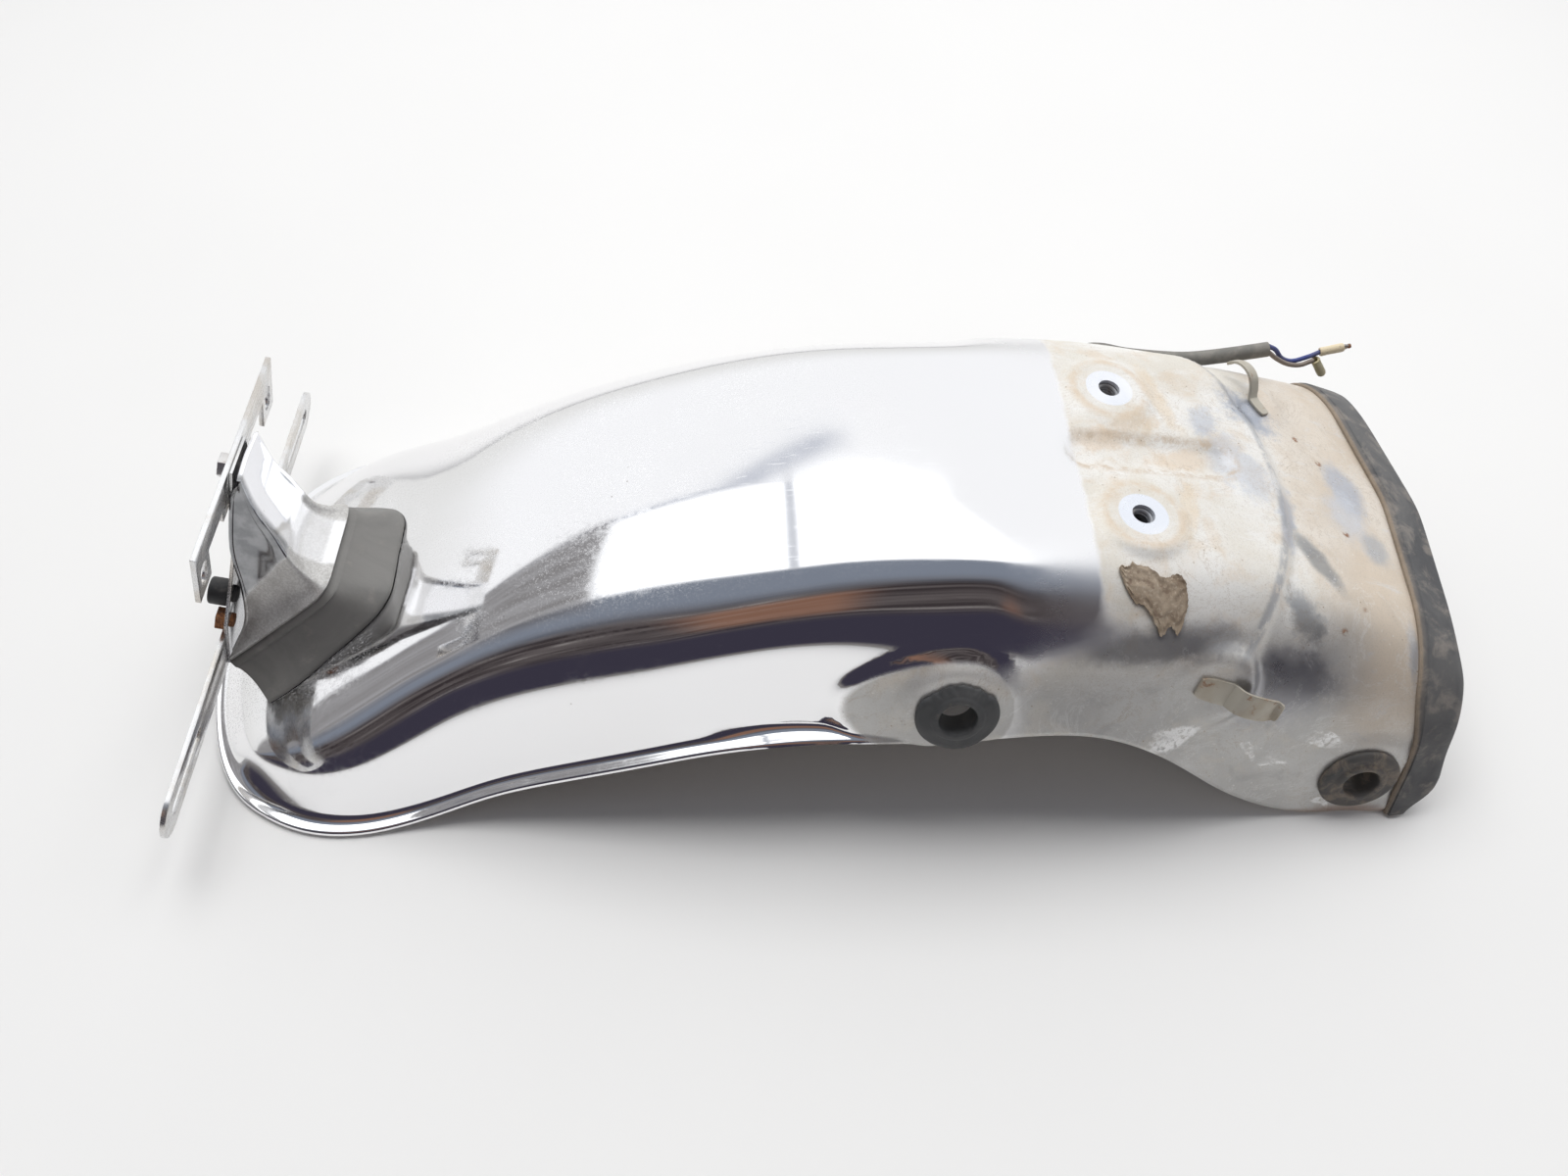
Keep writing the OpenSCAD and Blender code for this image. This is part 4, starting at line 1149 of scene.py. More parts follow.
class Nodes:
    """Short helpers that add and join the nodes of one tree."""

    def __init__(self, tree: bpy.types.NodeTree, place: str) -> None:
        """Starts on a tree, with one of its coordinates as the place.

        Args:
            tree: Node tree of a material or of the room.
            place: Name of the coordinate that the textures read.
        """
        self.tree = tree
        self.place: bpy.types.NodeSocket = self.node("ShaderNodeTexCoord").outputs[place]

    def node(self, kind: str, **settings: object) -> bpy.types.Node:
        """Adds a node and sets its own settings."""
        node = self.tree.nodes.new(kind)
        for key, value in settings.items():
            setattr(node, key, value)
        return node

    def feed(self, socket: bpy.types.NodeSocket, value: object) -> None:
        """Joins a socket to another one, or writes a plain value into it."""
        if isinstance(value, bpy.types.NodeSocket):
            self.tree.links.new(value, socket)
        elif isinstance(value, tuple) and socket.type == "RGBA":
            socket.default_value = (*value[:3], 1.0)
        else:
            socket.default_value = value

    def math(self, operation: str, a: object, b: object = 0.0) -> bpy.types.NodeSocket:
        """Result of one sum on two numbers."""
        node = self.node("ShaderNodeMath", operation=operation)
        self.feed(node.inputs[0], a)
        self.feed(node.inputs[1], b)
        return node.outputs[0]

    def add(self, a: object, b: object) -> bpy.types.NodeSocket:
        """Sum of two numbers."""
        return self.math("ADD", a, b)

    def less(self, a: object, b: object) -> bpy.types.NodeSocket:
        """First number less the second."""
        return self.math("SUBTRACT", a, b)

    def size(self, a: object) -> bpy.types.NodeSocket:
        """Number without its sign."""
        return self.math("ABSOLUTE", a)

    def swing(self, value: object, width: object) -> bpy.types.NodeSocket:
        """Value of 0 to 1 turned into a swing of a width about zero."""
        return self.both(self.less(value, 0.5), width)

    def length(self, a: object, b: object) -> bpy.types.NodeSocket:
        """Distance from two square offsets."""
        return self.math("SQRT", self.add(self.both(a, a), self.both(b, b)))

    def axes(self) -> tuple[bpy.types.NodeSocket, ...]:
        """The three coordinates of the place."""
        node = self.node("ShaderNodeSeparateXYZ")
        self.feed(node.inputs[0], self.place)
        return tuple(node.outputs)

    def stretched(self, scale: Point, turn: Point = (0, 0, 0)) -> bpy.types.NodeSocket:
        """The place, turned and then stretched along its axes."""
        node = self.node("ShaderNodeMapping")
        self.feed(node.inputs["Vector"], self.place)
        node.inputs["Rotation"].default_value = turn
        node.inputs["Scale"].default_value = scale
        return node.outputs[0]

    def noise(self, scale: float, detail: float = 4, rough: float = 0.55, distort: float = 0.0,
              place: bpy.types.NodeSocket | None = None) -> bpy.types.NodeSocket:
        """Soft noise; the scale is in waves for each metre."""
        node = self.node("ShaderNodeTexNoise")
        self.feed(node.inputs["Vector"], place or self.place)
        for key, value in (("Scale", scale), ("Detail", detail), ("Roughness", rough),
                           ("Distortion", distort)):
            node.inputs[key].default_value = value
        return node.outputs["Fac"]

    def cells(self, scale: float, place: bpy.types.NodeSocket | None = None) -> bpy.types.NodeSocket:
        """Distance to the nearest of many scattered points."""
        node = self.node("ShaderNodeTexVoronoi")
        self.feed(node.inputs["Vector"], place or self.place)
        node.inputs["Scale"].default_value = scale
        return node.outputs["Distance"]

    def rise(self, value: object, low: float, high: float) -> bpy.types.NodeSocket:
        """Smooth step of a value from 0 at low to 1 at high; low may be the larger one."""
        node = self.node("ShaderNodeMapRange", interpolation_type="SMOOTHSTEP")
        self.feed(node.inputs["Value"], value)
        start, end, ends = (low, high, (0.0, 1.0)) if low < high else (high, low, (1.0, 0.0))
        node.inputs["From Min"].default_value = start
        node.inputs["From Max"].default_value = end
        node.inputs["To Min"].default_value, node.inputs["To Max"].default_value = ends
        return node.outputs["Result"]

    def span(self, value: object, low: float, high: float) -> bpy.types.NodeSocket:
        """Straight range of a 0 to 1 value."""
        node = self.node("ShaderNodeMapRange")
        self.feed(node.inputs["Value"], value)
        node.inputs["To Min"].default_value, node.inputs["To Max"].default_value = low, high
        return node.outputs["Result"]

    def near(self, spot: Point, inner: float, outer: float) -> bpy.types.NodeSocket:
        """1 within an inner distance of a spot in millimetres and 0 past the outer one."""
        node = self.node("ShaderNodeVectorMath", operation="DISTANCE")
        self.feed(node.inputs[0], self.place)
        node.inputs[1].default_value = [c * MM for c in spot]
        return self.rise(node.outputs["Value"], outer * MM, inner * MM)

    def blend(self, share: object, a: object, b: object) -> bpy.types.NodeSocket:
        """Colour between a and b."""
        node = self.node("ShaderNodeMix", data_type="RGBA")
        for k, value in ((0, share), (6, a), (7, b)):
            self.feed(node.inputs[k], value)
        return node.outputs[2]

    def layered(self, colour: object, *layers: tuple[object, object, object]) -> object:
        """Lays colours over a first one, each with its mask and its share."""
        for mask, share, tone in layers:
            colour = self.blend(self.both(mask, share), colour, tone)
        return colour

    def both(self, *values: object) -> bpy.types.NodeSocket:
        """Product of several masks."""
        out = values[0]
        for value in values[1:]:
            out = self.math("MULTIPLY", out, value)
        return out

    def either(self, *values: object) -> bpy.types.NodeSocket:
        """Largest of several masks."""
        out = values[0]
        for value in values[1:]:
            out = self.math("MAXIMUM", out, value)
        return out


class Graph(Nodes):
    """One procedural material."""

    def __init__(self, name: str) -> None:
        """Starts from a new material with its own shader."""
        self.material = bpy.data.materials.new(name)
        self.material.use_nodes = True
        super().__init__(self.material.node_tree, "Object")
        self.shader = self.tree.nodes["Principled BSDF"]
        self.height: bpy.types.NodeSocket | None = None
        self.shaken: bpy.types.NodeSocket = self.place
        self.rag: bpy.types.NodeSocket | float = 0.5
        self.brushed: bpy.types.NodeSocket | float = 0.5

    def inside_ball(self, centre: Point, size: Point, turn: object) -> bpy.types.NodeSocket:
        """Distance from a centre in millimetres, in units of the half sizes of a turned ball."""
        mapping = self.node("ShaderNodeMapping", vector_type="TEXTURE")
        mapping.inputs["Location"].default_value = Vector(centre) * MM
        mapping.inputs["Rotation"].default_value = turn
        mapping.inputs["Scale"].default_value = Vector(size) * MM
        self.feed(mapping.inputs["Vector"], self.shaken)
        length = self.node("ShaderNodeVectorMath", operation="LENGTH")
        self.feed(length.inputs[0], mapping.outputs[0])
        return length.outputs["Value"]

    def bump(self, height: object, depth: float, strength: float) -> None:
        """Adds relief of a depth in millimetres over what is there already."""
        node = self.node("ShaderNodeBump")
        node.inputs["Strength"].default_value = strength
        node.inputs["Distance"].default_value = depth * MM
        self.feed(node.inputs["Height"], height)
        if self.height is not None:
            self.feed(node.inputs["Normal"], self.height)
        self.height = node.outputs["Normal"]

    def finish(self, **sockets: object) -> bpy.types.Material:
        """Feeds the shader's sockets, named with underscores for spaces, and returns the material."""
        if self.height is not None:
            self.feed(self.shader.inputs["Normal"], self.height)
        for key, value in sockets.items():
            self.feed(self.shader.inputs[key.replace("_", " ")], value)
        return self.material


@dataclass(frozen=True)
class Patch:
    """Stained or worn place on the sheet, or a place whose colour is a painted blurred reflection: centre in
    millimetres, half sizes and colour.
    """

    centre: Spot
    size: Spot
    colour: Colour
    strength: float = 1.0
    turn: float = 0.0
    ragged: float = 0.5


@dataclass(frozen=True)
class FenderChrome:
    """Bright plating, clean and glossy at the rear, dull and stained ahead of the old seat line."""

    bright: Colour = (0.93, 0.93, 0.94)
    seat_line: float = 106.0
    wall_line: float = 66.0
    platform: Colour = (0.70, 0.665, 0.595)
    front: Colour = (0.68, 0.575, 0.455)
    wall: Colour = (0.50, 0.495, 0.48)
    stain: Colour = (0.62, 0.46, 0.29)
    rust: Colour = (0.25, 0.105, 0.04)
    # Brown patches are stains; the grey and bluish ones are places rubbed bare of dust whose tones are
    # painted blurred reflections, among them the dark bands along the right shoulder
    worn: tuple[Patch, ...] = (
        Patch((190, 36, 90), (12, 15, 20), (0.36, 0.40, 0.48), 0.95, 0.5, 1.0),
        Patch((227, 2, 79), (9, 17, 20), (0.44, 0.47, 0.54), 0.9, 0.2),
        Patch((222, -14, 80), (10, 14, 20), (0.60, 0.64, 0.71), 0.7),
        Patch((231, -28, 78), (7, 10, 20), (0.42, 0.44, 0.47), 0.8),
        Patch((192, -24, 92), (4, 22, 20), (0.42, 0.45, 0.52), 0.85, -0.25, 0.9),
        Patch((200, -41, 87), (5, 17, 16), (0.27, 0.275, 0.28), 0.95, 0.45, 0.3),
        Patch((189, -66, 88), (7, 13, 14), (0.36, 0.37, 0.38), 0.8, 0.3, 0.9),
        Patch((178, -86, 66), (28, 14, 22), (0.30, 0.30, 0.33), 0.85, 0.0, 0.5),
        Patch((146, -78, 92), (26, 7, 9), (0.36, 0.36, 0.37), 0.65, 0.0, 0.6),
        Patch((90, -78, 97), (26, 8, 9), (0.30, 0.32, 0.37), 0.7, 0.0, 0.6),
        Patch((236, -72, 62), (4, 14, 14), (0.50, 0.53, 0.58), 0.7, 0.0, 0.7),
        Patch((130, -83, 92), (46, 9, 9), (0.25, 0.25, 0.26), 0.8, 0.0, 0.4),
        Patch((175, 0, 97), (13, 24, 12), (0.50, 0.54, 0.62), 0.55, 0.5, 1.0),
        Patch((166, 22, 99), (9, 8, 12), (0.46, 0.50, 0.58), 0.6, 0.5, 1.0),
        Patch((150, 0, 103), (14, 7, 12), (0.66, 0.50, 0.33), 0.55, 0.2, 1.0),
        Patch((133, 15, 107), (16, 5, 12), (0.62, 0.47, 0.31), 0.5, 0.5, 1.0),
        Patch((118, 6, 108), (14, 6, 12), (0.66, 0.50, 0.34), 0.5, 0.0, 1.0),
        Patch((146, -30, 104), (5, 20, 12), (0.72, 0.56, 0.36), 0.45, -0.4, 0.8),
        Patch((148, 32, 104), (5, 22, 12), (0.70, 0.55, 0.36), 0.5, 0.25, 0.8),
    )
    scuffs: tuple[tuple[Point, Point, float], ...] = (
        ((124, -101, 47), (152, -98, 62), 3.4), ((140, -99, 57), (153, -97, 64), 2.0),
        ((168, -97, 55), (184, -100, 29), 0.8), ((176, -97, 50), (191, -100, 31), 0.7),
        ((166, -97, 57), (174, -98, 48), 1.2), ((190, -96, 45), (213, -97, 40), 1.3),
        ((232, -96, 40), (240, -97, 46), 1.4), ((205, -105, 18), (222, -107, 6), 0.9),
    )

    spots: tuple[Point, ...] = ((219, 14, 81), (219, -24, 81), (212, 26, 84), (205, -70, 80), (215, -60, 79))

    def boss(self, g: Graph, form: FenderForm, x: object, y: object, z: object) -> bpy.types.NodeSocket:
        """Mask of the dull boss round each rear grommet, inside its valley."""
        lean = math.radians(form.rear_lean)
        ahead = g.less(x, form.rear_seat[0] * MM)
        behind = g.both(g.math("MINIMUM", ahead, 0.0), form.boss_stretch)
        run = g.add(behind, g.math("MAXIMUM", ahead, 0.0))
        out = g.both(g.less(form.rear_seat[1] * MM, g.size(y)), math.sin(lean))
        up = g.add(out, g.both(g.less(z, form.rear_seat[2] * MM), math.cos(lean)))
        off = g.add(g.length(run, up), g.swing(g.rag, 0.0012))
        return g.both(g.rise(off, (form.boss_reach + 1.5) * MM, (form.boss_reach - 1.0) * MM),
                      g.rise(g.size(y), 0.05, 0.06))

    def streak(self, g: Graph, start: Point, end: Point, width: float) -> bpy.types.NodeSocket:
        """Mask of a thin scrape between two points."""
        a, b = Vector(start), Vector(end)
        turn = Vector((1, 0, 0)).rotation_difference(b - a).to_euler()
        return g.rise(g.inside_ball((a + b) / 2, ((b - a).length / 2, width, 7), turn), 1.05, 0.75)

    def patch(self, g: Graph, patch: Patch) -> bpy.types.NodeSocket:
        """Mask of a patch with a ragged edge."""
        away = g.inside_ball(patch.centre, patch.size, (0, 0, patch.turn))
        edge = g.add(away, g.swing(g.rag, 2.2 * patch.ragged))
        return g.both(g.rise(edge, 1.20, 0.45), g.span(g.brushed, 0.7, 1.1), patch.strength)

    def shaken(self, g: Graph, scale: float, width: float) -> bpy.types.NodeSocket:
        """The place, moved about by soft noise of a width in metres."""
        shift = g.node("ShaderNodeTexNoise")
        g.feed(shift.inputs["Vector"], g.place)
        shift.inputs["Scale"].default_value = scale
        shift.inputs["Detail"].default_value = 4
        mixed = g.node("ShaderNodeVectorMath", operation="MULTIPLY_ADD")
        g.feed(mixed.inputs[0], shift.outputs["Color"])
        mixed.inputs[1].default_value = [width] * 3
        g.feed(mixed.inputs[2], g.place)
        centred = g.node("ShaderNodeVectorMath", operation="SUBTRACT")
        g.feed(centred.inputs[0], mixed.outputs[0])
        centred.inputs[1].default_value = [width / 2] * 3
        return centred.outputs[0]

    def make(self, form: FenderForm) -> bpy.types.Material:
        """Builds the material over the fender's own places."""
        g = Graph("fender_chrome")
        x, y, z = g.axes()
        wide = g.noise(24, 5, 0.55, 0.3)
        middle = g.noise(75, 6, 0.6, 0.4)
        fine = g.noise(420, 4, 0.6)
        grain = g.noise(1500, 2, 0.5)
        g.rag = g.noise(120, 8, 0.75)
        g.brushed = g.noise(160, 6, 0.7, 0.5, g.stretched((0.35, 1, 0.35), (0, 0, 0.6)))
        g.shaken = self.shaken(g, 45, 0.009)

        # Where the clean plating ends
        crown_share = g.rise(z, 0.080, 0.098)
        line = g.span(crown_share, self.wall_line * MM, self.seat_line * MM)
        ahead = g.add(g.less(x, line), g.swing(g.rag, g.span(crown_share, 0.02, 0.004)))
        soft = g.both(ahead, g.span(g.rise(z, 0.097, 0.109), 0.07, 0.8))
        dirty = g.either(g.rise(soft, -0.0008, 0.0014), self.boss(g, form, x, y, z))

        # Ground tones of the crown, the front and the walls
        high = g.rise(z, 0.072, 0.092)
        lip = g.rise(g.add(x, g.swing(g.rag, 0.02)), 0.190, 0.206)
        crown = g.layered(g.blend(g.rise(wide, 0.38, 0.62), self.platform, (0.78, 0.765, 0.73)),
                          (g.rise(middle, 0.46, 0.70), 0.35, self.stain),
                          (g.rise(g.brushed, 0.52, 0.72), 0.4, (0.84, 0.85, 0.86)))
        fore = g.layered(g.blend(g.rise(wide, 0.36, 0.64), self.front, (0.76, 0.69, 0.60)),
                         (g.rise(middle, 0.50, 0.70), 0.5, (0.60, 0.51, 0.41)),
                         (g.rise(g.brushed, 0.54, 0.72), 0.5, (0.74, 0.75, 0.77)))
        low_front = g.both(g.rise(x, 0.195, 0.225), g.rise(z, 0.030, 0.055))
        wall = g.layered(g.blend(g.rise(wide, 0.36, 0.66), self.wall, (0.60, 0.595, 0.575)),
                         (g.rise(middle, 0.50, 0.70), 0.4, (0.68, 0.64, 0.57)),
                         (g.rise(g.brushed, 0.56, 0.70), 0.4, (0.36, 0.355, 0.35)),
                         (low_front, 0.85, fore))
        dirt = g.blend(high, wall, g.blend(lip, crown, fore))

        # Stains, and bare places whose grey or bluish tones are painted blurred reflections
        dull = 0.0
        for item in self.worn:
            mask = self.patch(g, item)
            dirt = g.blend(mask, dirt, item.colour)
            # Grey and bluish patches: rubbed bare of dust, their colour a painted blurred reflection
            bare = item.colour[2] > item.colour[0]
            dull = g.either(dull, mask) if bare else dull

        # Groove, veins, painted shade along the step, scrapes and specks
        nearest = g.math("MINIMUM", g.math("MAXIMUM", x, form.groove_from * MM), form.groove_to * MM)
        off = g.add(g.length(g.less(x, nearest), y), g.swing(g.rag, 0.009))
        rim = g.rise(g.size(g.less(off, (form.groove_half - 0.5) * MM)), 0.0034, 0.0006)
        rim = g.both(rim, g.rise(g.rag, 0.42, 0.62), g.rise(z, 0.07, 0.09))
        vein = g.rise(g.size(g.less(g.noise(55, 7, 0.72, 1.2), 0.5)), 0.010, 0.003)
        thin = g.rise(g.size(g.less(g.noise(34, 8, 0.7, 0.8), 0.52)), 0.012, 0.003)
        step_at = g.add(g.less(x, (form.step_x + 1.5) * MM), g.both(y, y, form.step_bow * 1000))
        # Painted shade: a dark line along the crease of the step
        crease = g.both(g.rise(g.size(step_at), 0.0030, 0.0008), g.rise(z, 0.078, 0.086),
                        g.rise(g.rag, 0.40, 0.55))
        marks = g.either(*(self.streak(g, *scuff) for scuff in self.scuffs))
        marks = g.both(marks, g.rise(g.brushed, 0.36, 0.52), g.rise(fine, 0.34, 0.50))
        flecks = g.both(g.rise(g.cells(230), 0.14, 0.05), g.rise(fine, 0.5, 0.62))
        grime = g.both(g.rise(g.cells(260), 0.13, 0.05), g.rise(middle, 0.46, 0.58))
        holes = [(form.hole_x, side * form.hole_y, form.hole_z) for side in (-1, 1)]
        disc = g.either(*(g.near(hole, 9.6, 10.2) for hole in holes))
        brown = g.either(*(g.both(g.near(hole, 15.0, 19.0),
                                  g.less(1.0, g.near(hole, 12.6, 15.0))) for hole in holes))
        dirt = g.layered(dirt,
                         (rim, 0.6, (0.50, 0.36, 0.22)),
                         (g.both(vein, g.rise(wide, 0.40, 0.6)), 0.38, (0.36, 0.27, 0.18)),
                         (g.both(thin, g.rise(wide, 0.62, 0.45)), 0.30, (0.80, 0.80, 0.79)),
                         (crease, 0.6, (0.30, 0.32, 0.36)),
                         (marks, 1.0, (0.90, 0.90, 0.89)),
                         (flecks, 0.6, (0.88, 0.86, 0.82)),
                         (grime, 0.7, (0.32, 0.24, 0.16)),
                         (g.rise(grain, 0.52, 0.66), 0.22, (0.42, 0.38, 0.33)),
                         (g.both(brown, g.rise(g.rag, 0.34, 0.56)), 0.45, self.stain),
                         (disc, 0.9, g.blend(g.rise(wide, 0.4, 0.6), (0.74, 0.78, 0.85),
                                             (0.82, 0.84, 0.88))))

        # Rust, and the clean plating with its dust and pits
        spots = g.either(*(g.near(spot, 0.6, 2.2) for spot in self.spots))
        low_edge = g.both(g.rise(z, 0.006, 0.002), g.rise(x, 0.15, 0.17), 0.6)
        rust = g.both(g.either(g.both(spots, g.rise(fine, 0.40, 0.5)), low_edge), 0.9)
        pits = g.both(g.rise(g.cells(95), 0.045, 0.02), g.rise(g.noise(14, 2), 0.5, 0.6))
        clean = g.layered(self.bright,
                          (g.rise(g.noise(9, 3), 0.4, 0.75), 0.08, (0.80, 0.78, 0.74)),
                          (pits, 0.7, (0.34, 0.30, 0.26)))
        colour = g.blend(rust, g.blend(dirty, clean, dirt), self.rust)

        # Gloss
        scratch = g.rise(g.noise(900, 2, 0.5, 0, g.stretched((0.04, 1, 1), (0, 0, 0.25))), 0.60, 0.72)
        haze = g.span(g.noise(35, 6, 0.6), 0.03, 0.10)
        film = g.both(g.rise(x, -0.02, -0.09), g.rise(fine, 0.40, 0.62), g.rise(wide, 0.42, 0.6))
        gloss = g.add(haze, g.add(g.both(scratch, 0.05), g.both(film, 0.09)))
        matt = g.less(g.span(middle, 0.30, 0.55), g.both(g.either(disc, dull), 0.16))
        blurry = g.both(g.rise(g.add(x, g.swing(middle, 0.03)), 0.056, 0.104), g.rise(z, 0.117, 0.108))
        gloss = g.add(gloss, g.both(blurry, 0.26))
        rough = g.add(g.both(gloss, g.less(1.0, dirty)), g.both(matt, dirty))
        rough = g.either(rough, g.both(rust, 0.75))

        # How far dirt covers the metal
        base = g.less(g.span(wide, 0.55, 0.85), g.both(g.less(1.0, g.either(high, low_front)), 0.3))
        cover = g.both(dirty, g.less(base, g.both(dull, 0.35)))
        upper = g.rise(g.size(y), 0.066, 0.050)
        speck = g.both(g.rise(g.noise(1300, 3, 0.6), 0.50, 0.66), g.rise(wide, 0.34, 0.56),
                       g.rise(x, 0.06, -0.06), upper)
        cover = g.either(cover, g.both(speck, 0.36))
        g.bump(g.both(dirty, g.add(fine, g.both(grain, 0.4))), 0.05, 0.6)
        g.bump(scratch, 0.003, 0.2)
        return g.finish(Base_Color=colour, Metallic=g.less(1.0, g.either(cover, rust)), Roughness=rough)


@dataclass(frozen=True)
class FenderInside:
    """Underside of the sheet: thin dull plating with road film and rust, its tones darkened further as
    painted shade under the arch.
    """

    def make(self) -> bpy.types.Material:
        """Builds the material."""
        g = Graph("fender_inside")
        wide, fine = g.noise(18, 6, 0.6, 0.5), g.noise(300, 5, 0.65)
        colour = g.layered(g.blend(g.rise(wide, 0.38, 0.62), (0.22, 0.215, 0.205), (0.12, 0.105, 0.09)),
                           (g.rise(g.noise(55, 6, 0.7), 0.56, 0.66), 0.85, (0.22, 0.10, 0.045)),
                           (g.rise(fine, 0.55, 0.7), 0.4, (0.28, 0.26, 0.235)))
        g.bump(g.add(fine, wide), 0.12, 0.8)
        return g.finish(Base_Color=colour, Metallic=0.35, Roughness=g.span(wide, 0.45, 0.75))


@dataclass(frozen=True)
class DustyRubber:
    """Aged rubber with dust in its low places, stains and small cracks with painted shade in them."""

    name: str
    base: Colour = (0.045, 0.045, 0.047)
    worn: Colour = (0.10, 0.098, 0.095)
    dust: Colour = (0.33, 0.29, 0.24)
    amount: float = 0.5
    rough: float = 0.62

    def make(self) -> bpy.types.Material:
        """Builds the material."""
        g = Graph(self.name)
        wide, middle, fine = g.noise(28, 6, 0.6, 0.6), g.noise(110, 6, 0.65, 0.5), g.noise(700, 3, 0.6)
        clear = 0.2 * self.amount
        film = g.both(g.rise(middle, 0.60 - clear, 0.78 - clear), g.span(fine, 0.35, 1.0))
        rim = g.node("ShaderNodeAttribute", attribute_name="rim").outputs["Fac"]
        # Painted shade: the cracks are coloured near black, beside the bump that sinks them
        crack = g.rise(g.cells(330, g.stretched((1, 1, 2.2))), 0.035, 0.012)
        colour = g.layered(g.blend(g.rise(wide, 0.36, 0.64), self.base, self.worn),
                           (film, 0.3 + 0.5 * self.amount, self.dust),
                           (rim, g.span(fine, 0.35, 0.85), (0.34, 0.26, 0.18)),
                           (crack, 0.6, (0.02, 0.02, 0.02)))
        g.bump(g.add(fine, g.both(middle, 1.5)), 0.10, 0.7)
        g.bump(crack, -0.05, 0.5)
        return g.finish(Base_Color=colour, Metallic=0.0,
                        Roughness=g.span(middle, self.rough - 0.12, self.rough + 0.2))


@dataclass(frozen=True)
class SheathPlastic:
    """Soft plastic tube with a dusty film."""

    name: str
    base: Colour
    film: Colour = (0.36, 0.34, 0.31)
    amount: float = 0.4
    rough: float = 0.5

    def make(self) -> bpy.types.Material:
        """Builds the material."""
        g = Graph(self.name)
        middle, fine = g.noise(160, 5, 0.6), g.noise(900, 3, 0.6)
        colour = g.layered(self.base,
                           (g.rise(middle, 0.42, 0.66), self.amount, self.film),
                           (g.rise(fine, 0.58, 0.7), 0.3, (0.12, 0.11, 0.10)))
        g.bump(g.add(middle, fine), 0.05, 0.6)
        return g.finish(Base_Color=colour, Metallic=0.0,
                        Roughness=g.span(middle, self.rough - 0.08, self.rough + 0.15))


@dataclass(frozen=True)
class WornSteel:
    """Plated or bare steel with stains, rust patches and brushed grain."""

    name: str
    base: Colour = (0.60, 0.59, 0.57)
    stain: Colour = (0.36, 0.27, 0.17)
    rust: Colour = (0.20, 0.075, 0.03)
    rusted: float = 0.3
    metal: float = 0.9
    rough: float = 0.34

    def make(self) -> bpy.types.Material:
        """Builds the material."""
        g = Graph(self.name)
        wide, middle, fine = g.noise(40, 6, 0.6, 0.4), g.noise(170, 6, 0.65, 0.8), g.noise(900, 4, 0.65)
        low = 0.72 - 0.36 * self.rusted
        rust = g.rise(g.add(g.both(middle, 0.7), g.both(wide, 0.3)), low - 0.05, low + 0.06)
        colour = g.layered(self.base,
                           (g.rise(wide, 0.42, 0.62), 0.55, self.stain),
                           (rust, 1.0, g.blend(g.rise(fine, 0.4, 0.6), self.rust, (0.34, 0.15, 0.06))))
        grain = g.noise(2200, 2, 0.5, 0, g.stretched((1, 0.05, 1)))
        metal = g.less(self.metal, g.both(rust, self.metal * 0.9))
        rough = g.either(g.span(grain, self.rough - 0.1, self.rough + 0.12), g.both(rust, 0.8))
        g.bump(g.both(rust, g.add(fine, 0.6)), 0.12, 0.9)
        g.bump(grain, 0.006, 0.3)
        return g.finish(Base_Color=colour, Metallic=metal, Roughness=rough)


@dataclass(frozen=True)
class StayChrome:
    """Plating of the tail stay: bright, with a dusty speckled film low on its sides and painted shade on the
    upper part of its -Y side.
    """

    def make(self) -> bpy.types.Material:
        """Builds the material."""
        g = Graph("stay_chrome")
        x, y, z = g.axes()
        middle, fine = g.noise(120, 6, 0.62), g.noise(1100, 4, 0.7)
        slope = g.add(z, g.both(g.add(x, 0.215), -0.9))
        low = g.rise(g.add(slope, g.swing(middle, 0.006)), 0.0745, 0.070)
        side = g.rise(g.size(y), 0.009, 0.013)
        film = g.both(low, g.either(side, 0.35))
        speckled = g.layered(g.blend(g.rise(fine, 0.40, 0.62), (0.46, 0.445, 0.42), (0.66, 0.65, 0.625)),
                             (g.rise(middle, 0.48, 0.7), 0.5, (0.30, 0.285, 0.26)))
        # Painted shade: the -Y side above the film is coloured dark
        shaded_side = g.both(side, g.less(1.0, low), g.rise(y, 0.0, -0.006))
        dark = g.blend(g.rise(middle, 0.35, 0.65), (0.15, 0.155, 0.165), (0.27, 0.275, 0.285))
        spots = g.both(g.rise(g.cells(210), 0.07, 0.03), g.rise(middle, 0.5, 0.6))
        colour = g.layered((0.92, 0.92, 0.93),
                           (g.rise(middle, 0.4, 0.7), 0.12, (0.78, 0.76, 0.72)),
                           (shaded_side, 0.9, dark),
                           (film, 0.85, speckled),
                           (spots, 0.8, (0.24, 0.12, 0.06)))
        rough = g.add(g.span(middle, 0.05, 0.14), g.both(film, g.span(fine, 0.25, 0.5)))
        g.bump(g.both(film, fine), 0.05, 0.6)
        return g.finish(Base_Color=colour, Metallic=g.less(1.0, g.both(film, 0.45)), Roughness=rough)


@dataclass(frozen=True)
class TapePaper:
    """Old brown paper tape: fibres, wet marks and paler torn places."""

    def make(self) -> bpy.types.Material:
        """Builds the material."""
        g = Graph("tape_paper")
        wide, fine = g.noise(90, 6, 0.65, 0.6), g.noise(800, 5, 0.7)
        fibre = g.noise(1600, 3, 0.6, 0, g.stretched((1, 0.2, 1), (0, 0, 0.5)))
        colour = g.layered(g.blend(g.rise(wide, 0.36, 0.62), (0.20, 0.15, 0.105), (0.34, 0.275, 0.205)),
                           (g.rise(fine, 0.52, 0.66), 0.55, (0.48, 0.41, 0.33)),
                           (g.rise(g.noise(210, 4, 0.6), 0.58, 0.66), 0.6, (0.15, 0.10, 0.07)))
        g.bump(g.add(fibre, wide), 0.12, 0.9)
        return g.finish(Base_Color=colour, Metallic=0.0, Roughness=0.86)


